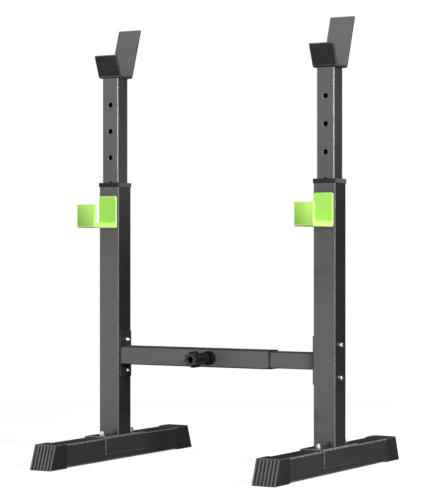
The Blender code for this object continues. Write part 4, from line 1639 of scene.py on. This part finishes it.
@dataclass
class Studio:
    """The floor, the backdrop, the lamps and the camera."""

    eye: Triple = (2.0692, -3.5866, 0.4669)
    turn: Triple = (89.912, 0.0, 30.085)
    lens: float = 139.12
    sensor: float = 36.0
    sight: float = 100.0
    fill: float = 0.10
    paint: float = 0.45
    lift: float = 0.80
    fade: Pair = (0.6, 2.2)
    floor_radius: float = 40.0

    def build(self) -> None:
        """Sets up everything round the rack."""
        self.camera()
        self.world()
        self.floor()
        for name, at, aim, size, power in (
                ("key_panel", (2.72, -1.02, 1.42), (0.0, 0.0, 0.60), (1.0, 1.3), 137.0),
                ("front_panel", (-0.80, -1.40, 0.75), (0.0, 0.0, 0.60), (1.3, 1.5), 7.0),
                ("upper_panel", (-0.50, -0.80, 2.25), (0.0, 0.0, 0.90), (1.4, 1.5), 10.0)):
            self.lamp(name, at, aim, size, power)
        for name, at, size, tone, turn in (
                ("rear_flag", (0.0, 1.3, 0.40), (4.4, 0.78), 0.0, 90.0),
                ("rear_high_flag", (0.0, 1.3, 1.575), (4.4, 1.55), 0.12, 90.0),
                ("rear_edge_card", (0.27, 1.28, 0.66), (0.20, 0.16), 3.2, 90.0),
                ("rear_floor_flag", (0.9, 0.45, 0.001), (3.4, 1.7), 0.04, 0.0),
                ("hanging_flag", (-0.27, -0.48, 0.60), (1.15, 0.56), 0.0, 0.0),
                ("over_beam_flag", (0.0, 0.0, 0.40), (0.44, 0.36), 0.0, 0.0),
                ("under_beam_flag", (0.0, 0.0, 0.10), (0.44, 0.30), 0.0, 0.0),
                ("front_floor_card", (-0.65, -1.00, 0.0015), (1.7, 1.4), 1.9, 0.0)):
            self.card(name, at, size, tone, turn)
        bpy.context.scene.view_settings.view_transform = "Standard"

    def camera(self) -> None:
        """Sets the camera at the photograph's viewing angle."""
        data = bpy.data.cameras.new("camera")
        data.lens = self.lens
        data.sensor_width = self.sensor
        data.clip_end = self.sight
        camera = bpy.data.objects.new("camera", data)
        camera.location = self.eye
        camera.rotation_euler = [math.radians(angle) for angle in self.turn]
        bpy.context.scene.collection.objects.link(camera)
        bpy.context.scene.camera = camera

    def lamp(self, name: str, at: Triple, aim: Triple, size: Pair, power: float) -> None:
        """Adds a soft panel lamp.

        Args:
            name: Its name.
            at: Where it hangs.
            aim: What it points at.
            size: Its width and height.
            power: Its power.
        """
        data = bpy.data.lights.new(name, "AREA")
        data.shape = "RECTANGLE"
        data.size, data.size_y = size
        data.energy = power
        lamp = bpy.data.objects.new(name, data)
        lamp.location = at
        lamp.rotation_euler = (Vector(aim) - Vector(at)).to_track_quat("-Z", "Y").to_euler()
        lamp.visible_camera = False
        bpy.context.scene.collection.objects.link(lamp)

    def card(self, name: str, at: Triple, size: Pair, tone: float, turn: float) -> None:
        """Adds a dark flag or a bright card that only reflections see.

        Args:
            name: Its name.
            at: Its middle.
            size: Its width and height.
            tone: How bright it is in a reflection, where the room is 1.
            turn: How far it is turned up from lying flat, in degrees.
        """
        rest()
        bpy.ops.mesh.primitive_plane_add(size=1.0)
        obj = bpy.context.object
        obj.name = name
        spread = Matrix.Diagonal((*size, 1.0, 1.0))
        Workpiece(obj).placed(Matrix.Translation(at) @ Along.X.turn(math.radians(turn)) @ spread)
        for ray in ("camera", "diffuse", "shadow", "transmission"):
            setattr(obj, f"visible_{ray}", False)
        obj.data.materials.append(ShaderSheet(name).shade({
            "Base Color": (0.01, 0.01, 0.01), "Emission Color": (1.0, 1.0, 1.0), "Emission Strength": tone,
            "Roughness": 1.0}))

    def world(self) -> None:
        """Makes the background white, and dimmer where it only lights the rack."""
        sheet = NodeSheet(bpy.data.worlds.new("white_room"))
        bpy.context.scene.world = sheet.owner
        seen = sheet.seen_directly()
        strength = sheet.add("MapRange", {"Value": seen, "To Min": self.fill, "To Max": 1.0})
        background = sheet.nodes["Background"].inputs
        sheet.feed(background["Color"], (1.0, 1.0, 1.0))
        sheet.feed(background["Strength"], strength["Result"])

    def floor(self) -> None:
        """Lays a plain pale floor that keeps the rack's shadow and fades to white far away."""
        rest()
        bpy.ops.mesh.primitive_circle_add(vertices=96, radius=self.floor_radius, fill_type="NGON")
        obj = bpy.context.object
        obj.name = "floor"
        sheet = NodeSheet(bpy.data.materials.new("pale_floor"))
        sheet.nodes.remove(sheet.nodes["Principled BSDF"])
        place = sheet.add("TexCoord")["Object"]
        length = sheet.add("VectorMath", {0: place}, operation="LENGTH")["Value"]
        near, far = self.fade
        fade = sheet.add(
            "MapRange", {"Value": length, "From Min": near, "From Max": far},
            interpolation_type="SMOOTHSTEP")
        paint = sheet.add("BsdfDiffuse", {"Color": (self.paint, self.paint, self.paint)})
        strength = sheet.reckon("MULTIPLY", sheet.seen_directly(), self.lift)
        lift = sheet.add("Emission", {"Strength": strength})
        grey = sheet.add("AddShader", {0: paint[0], 1: lift[0]})
        white = sheet.add("Emission", {"Strength": sheet.seen_directly()})
        mix = sheet.add("MixShader", {0: fade["Result"], 1: grey[0], 2: white[0]})
        sheet.feed(sheet.nodes["Material Output"].inputs["Surface"], mix[0])
        obj.data.materials.append(sheet.owner)


def main() -> None:
    """Builds the rack group by group, then the studio."""
    logging.basicConfig(level=logging.INFO, format="%(message)s", stream=sys.stdout)
    groups = (Foot(), Saddle(), Upright(), Post(), HeightLock(), Bracket(), Beam(), Clamp())
    log.info("%d pieces", sum(group.dress() for group in groups))
    Studio().build()


if __name__ == "__main__":
    main()
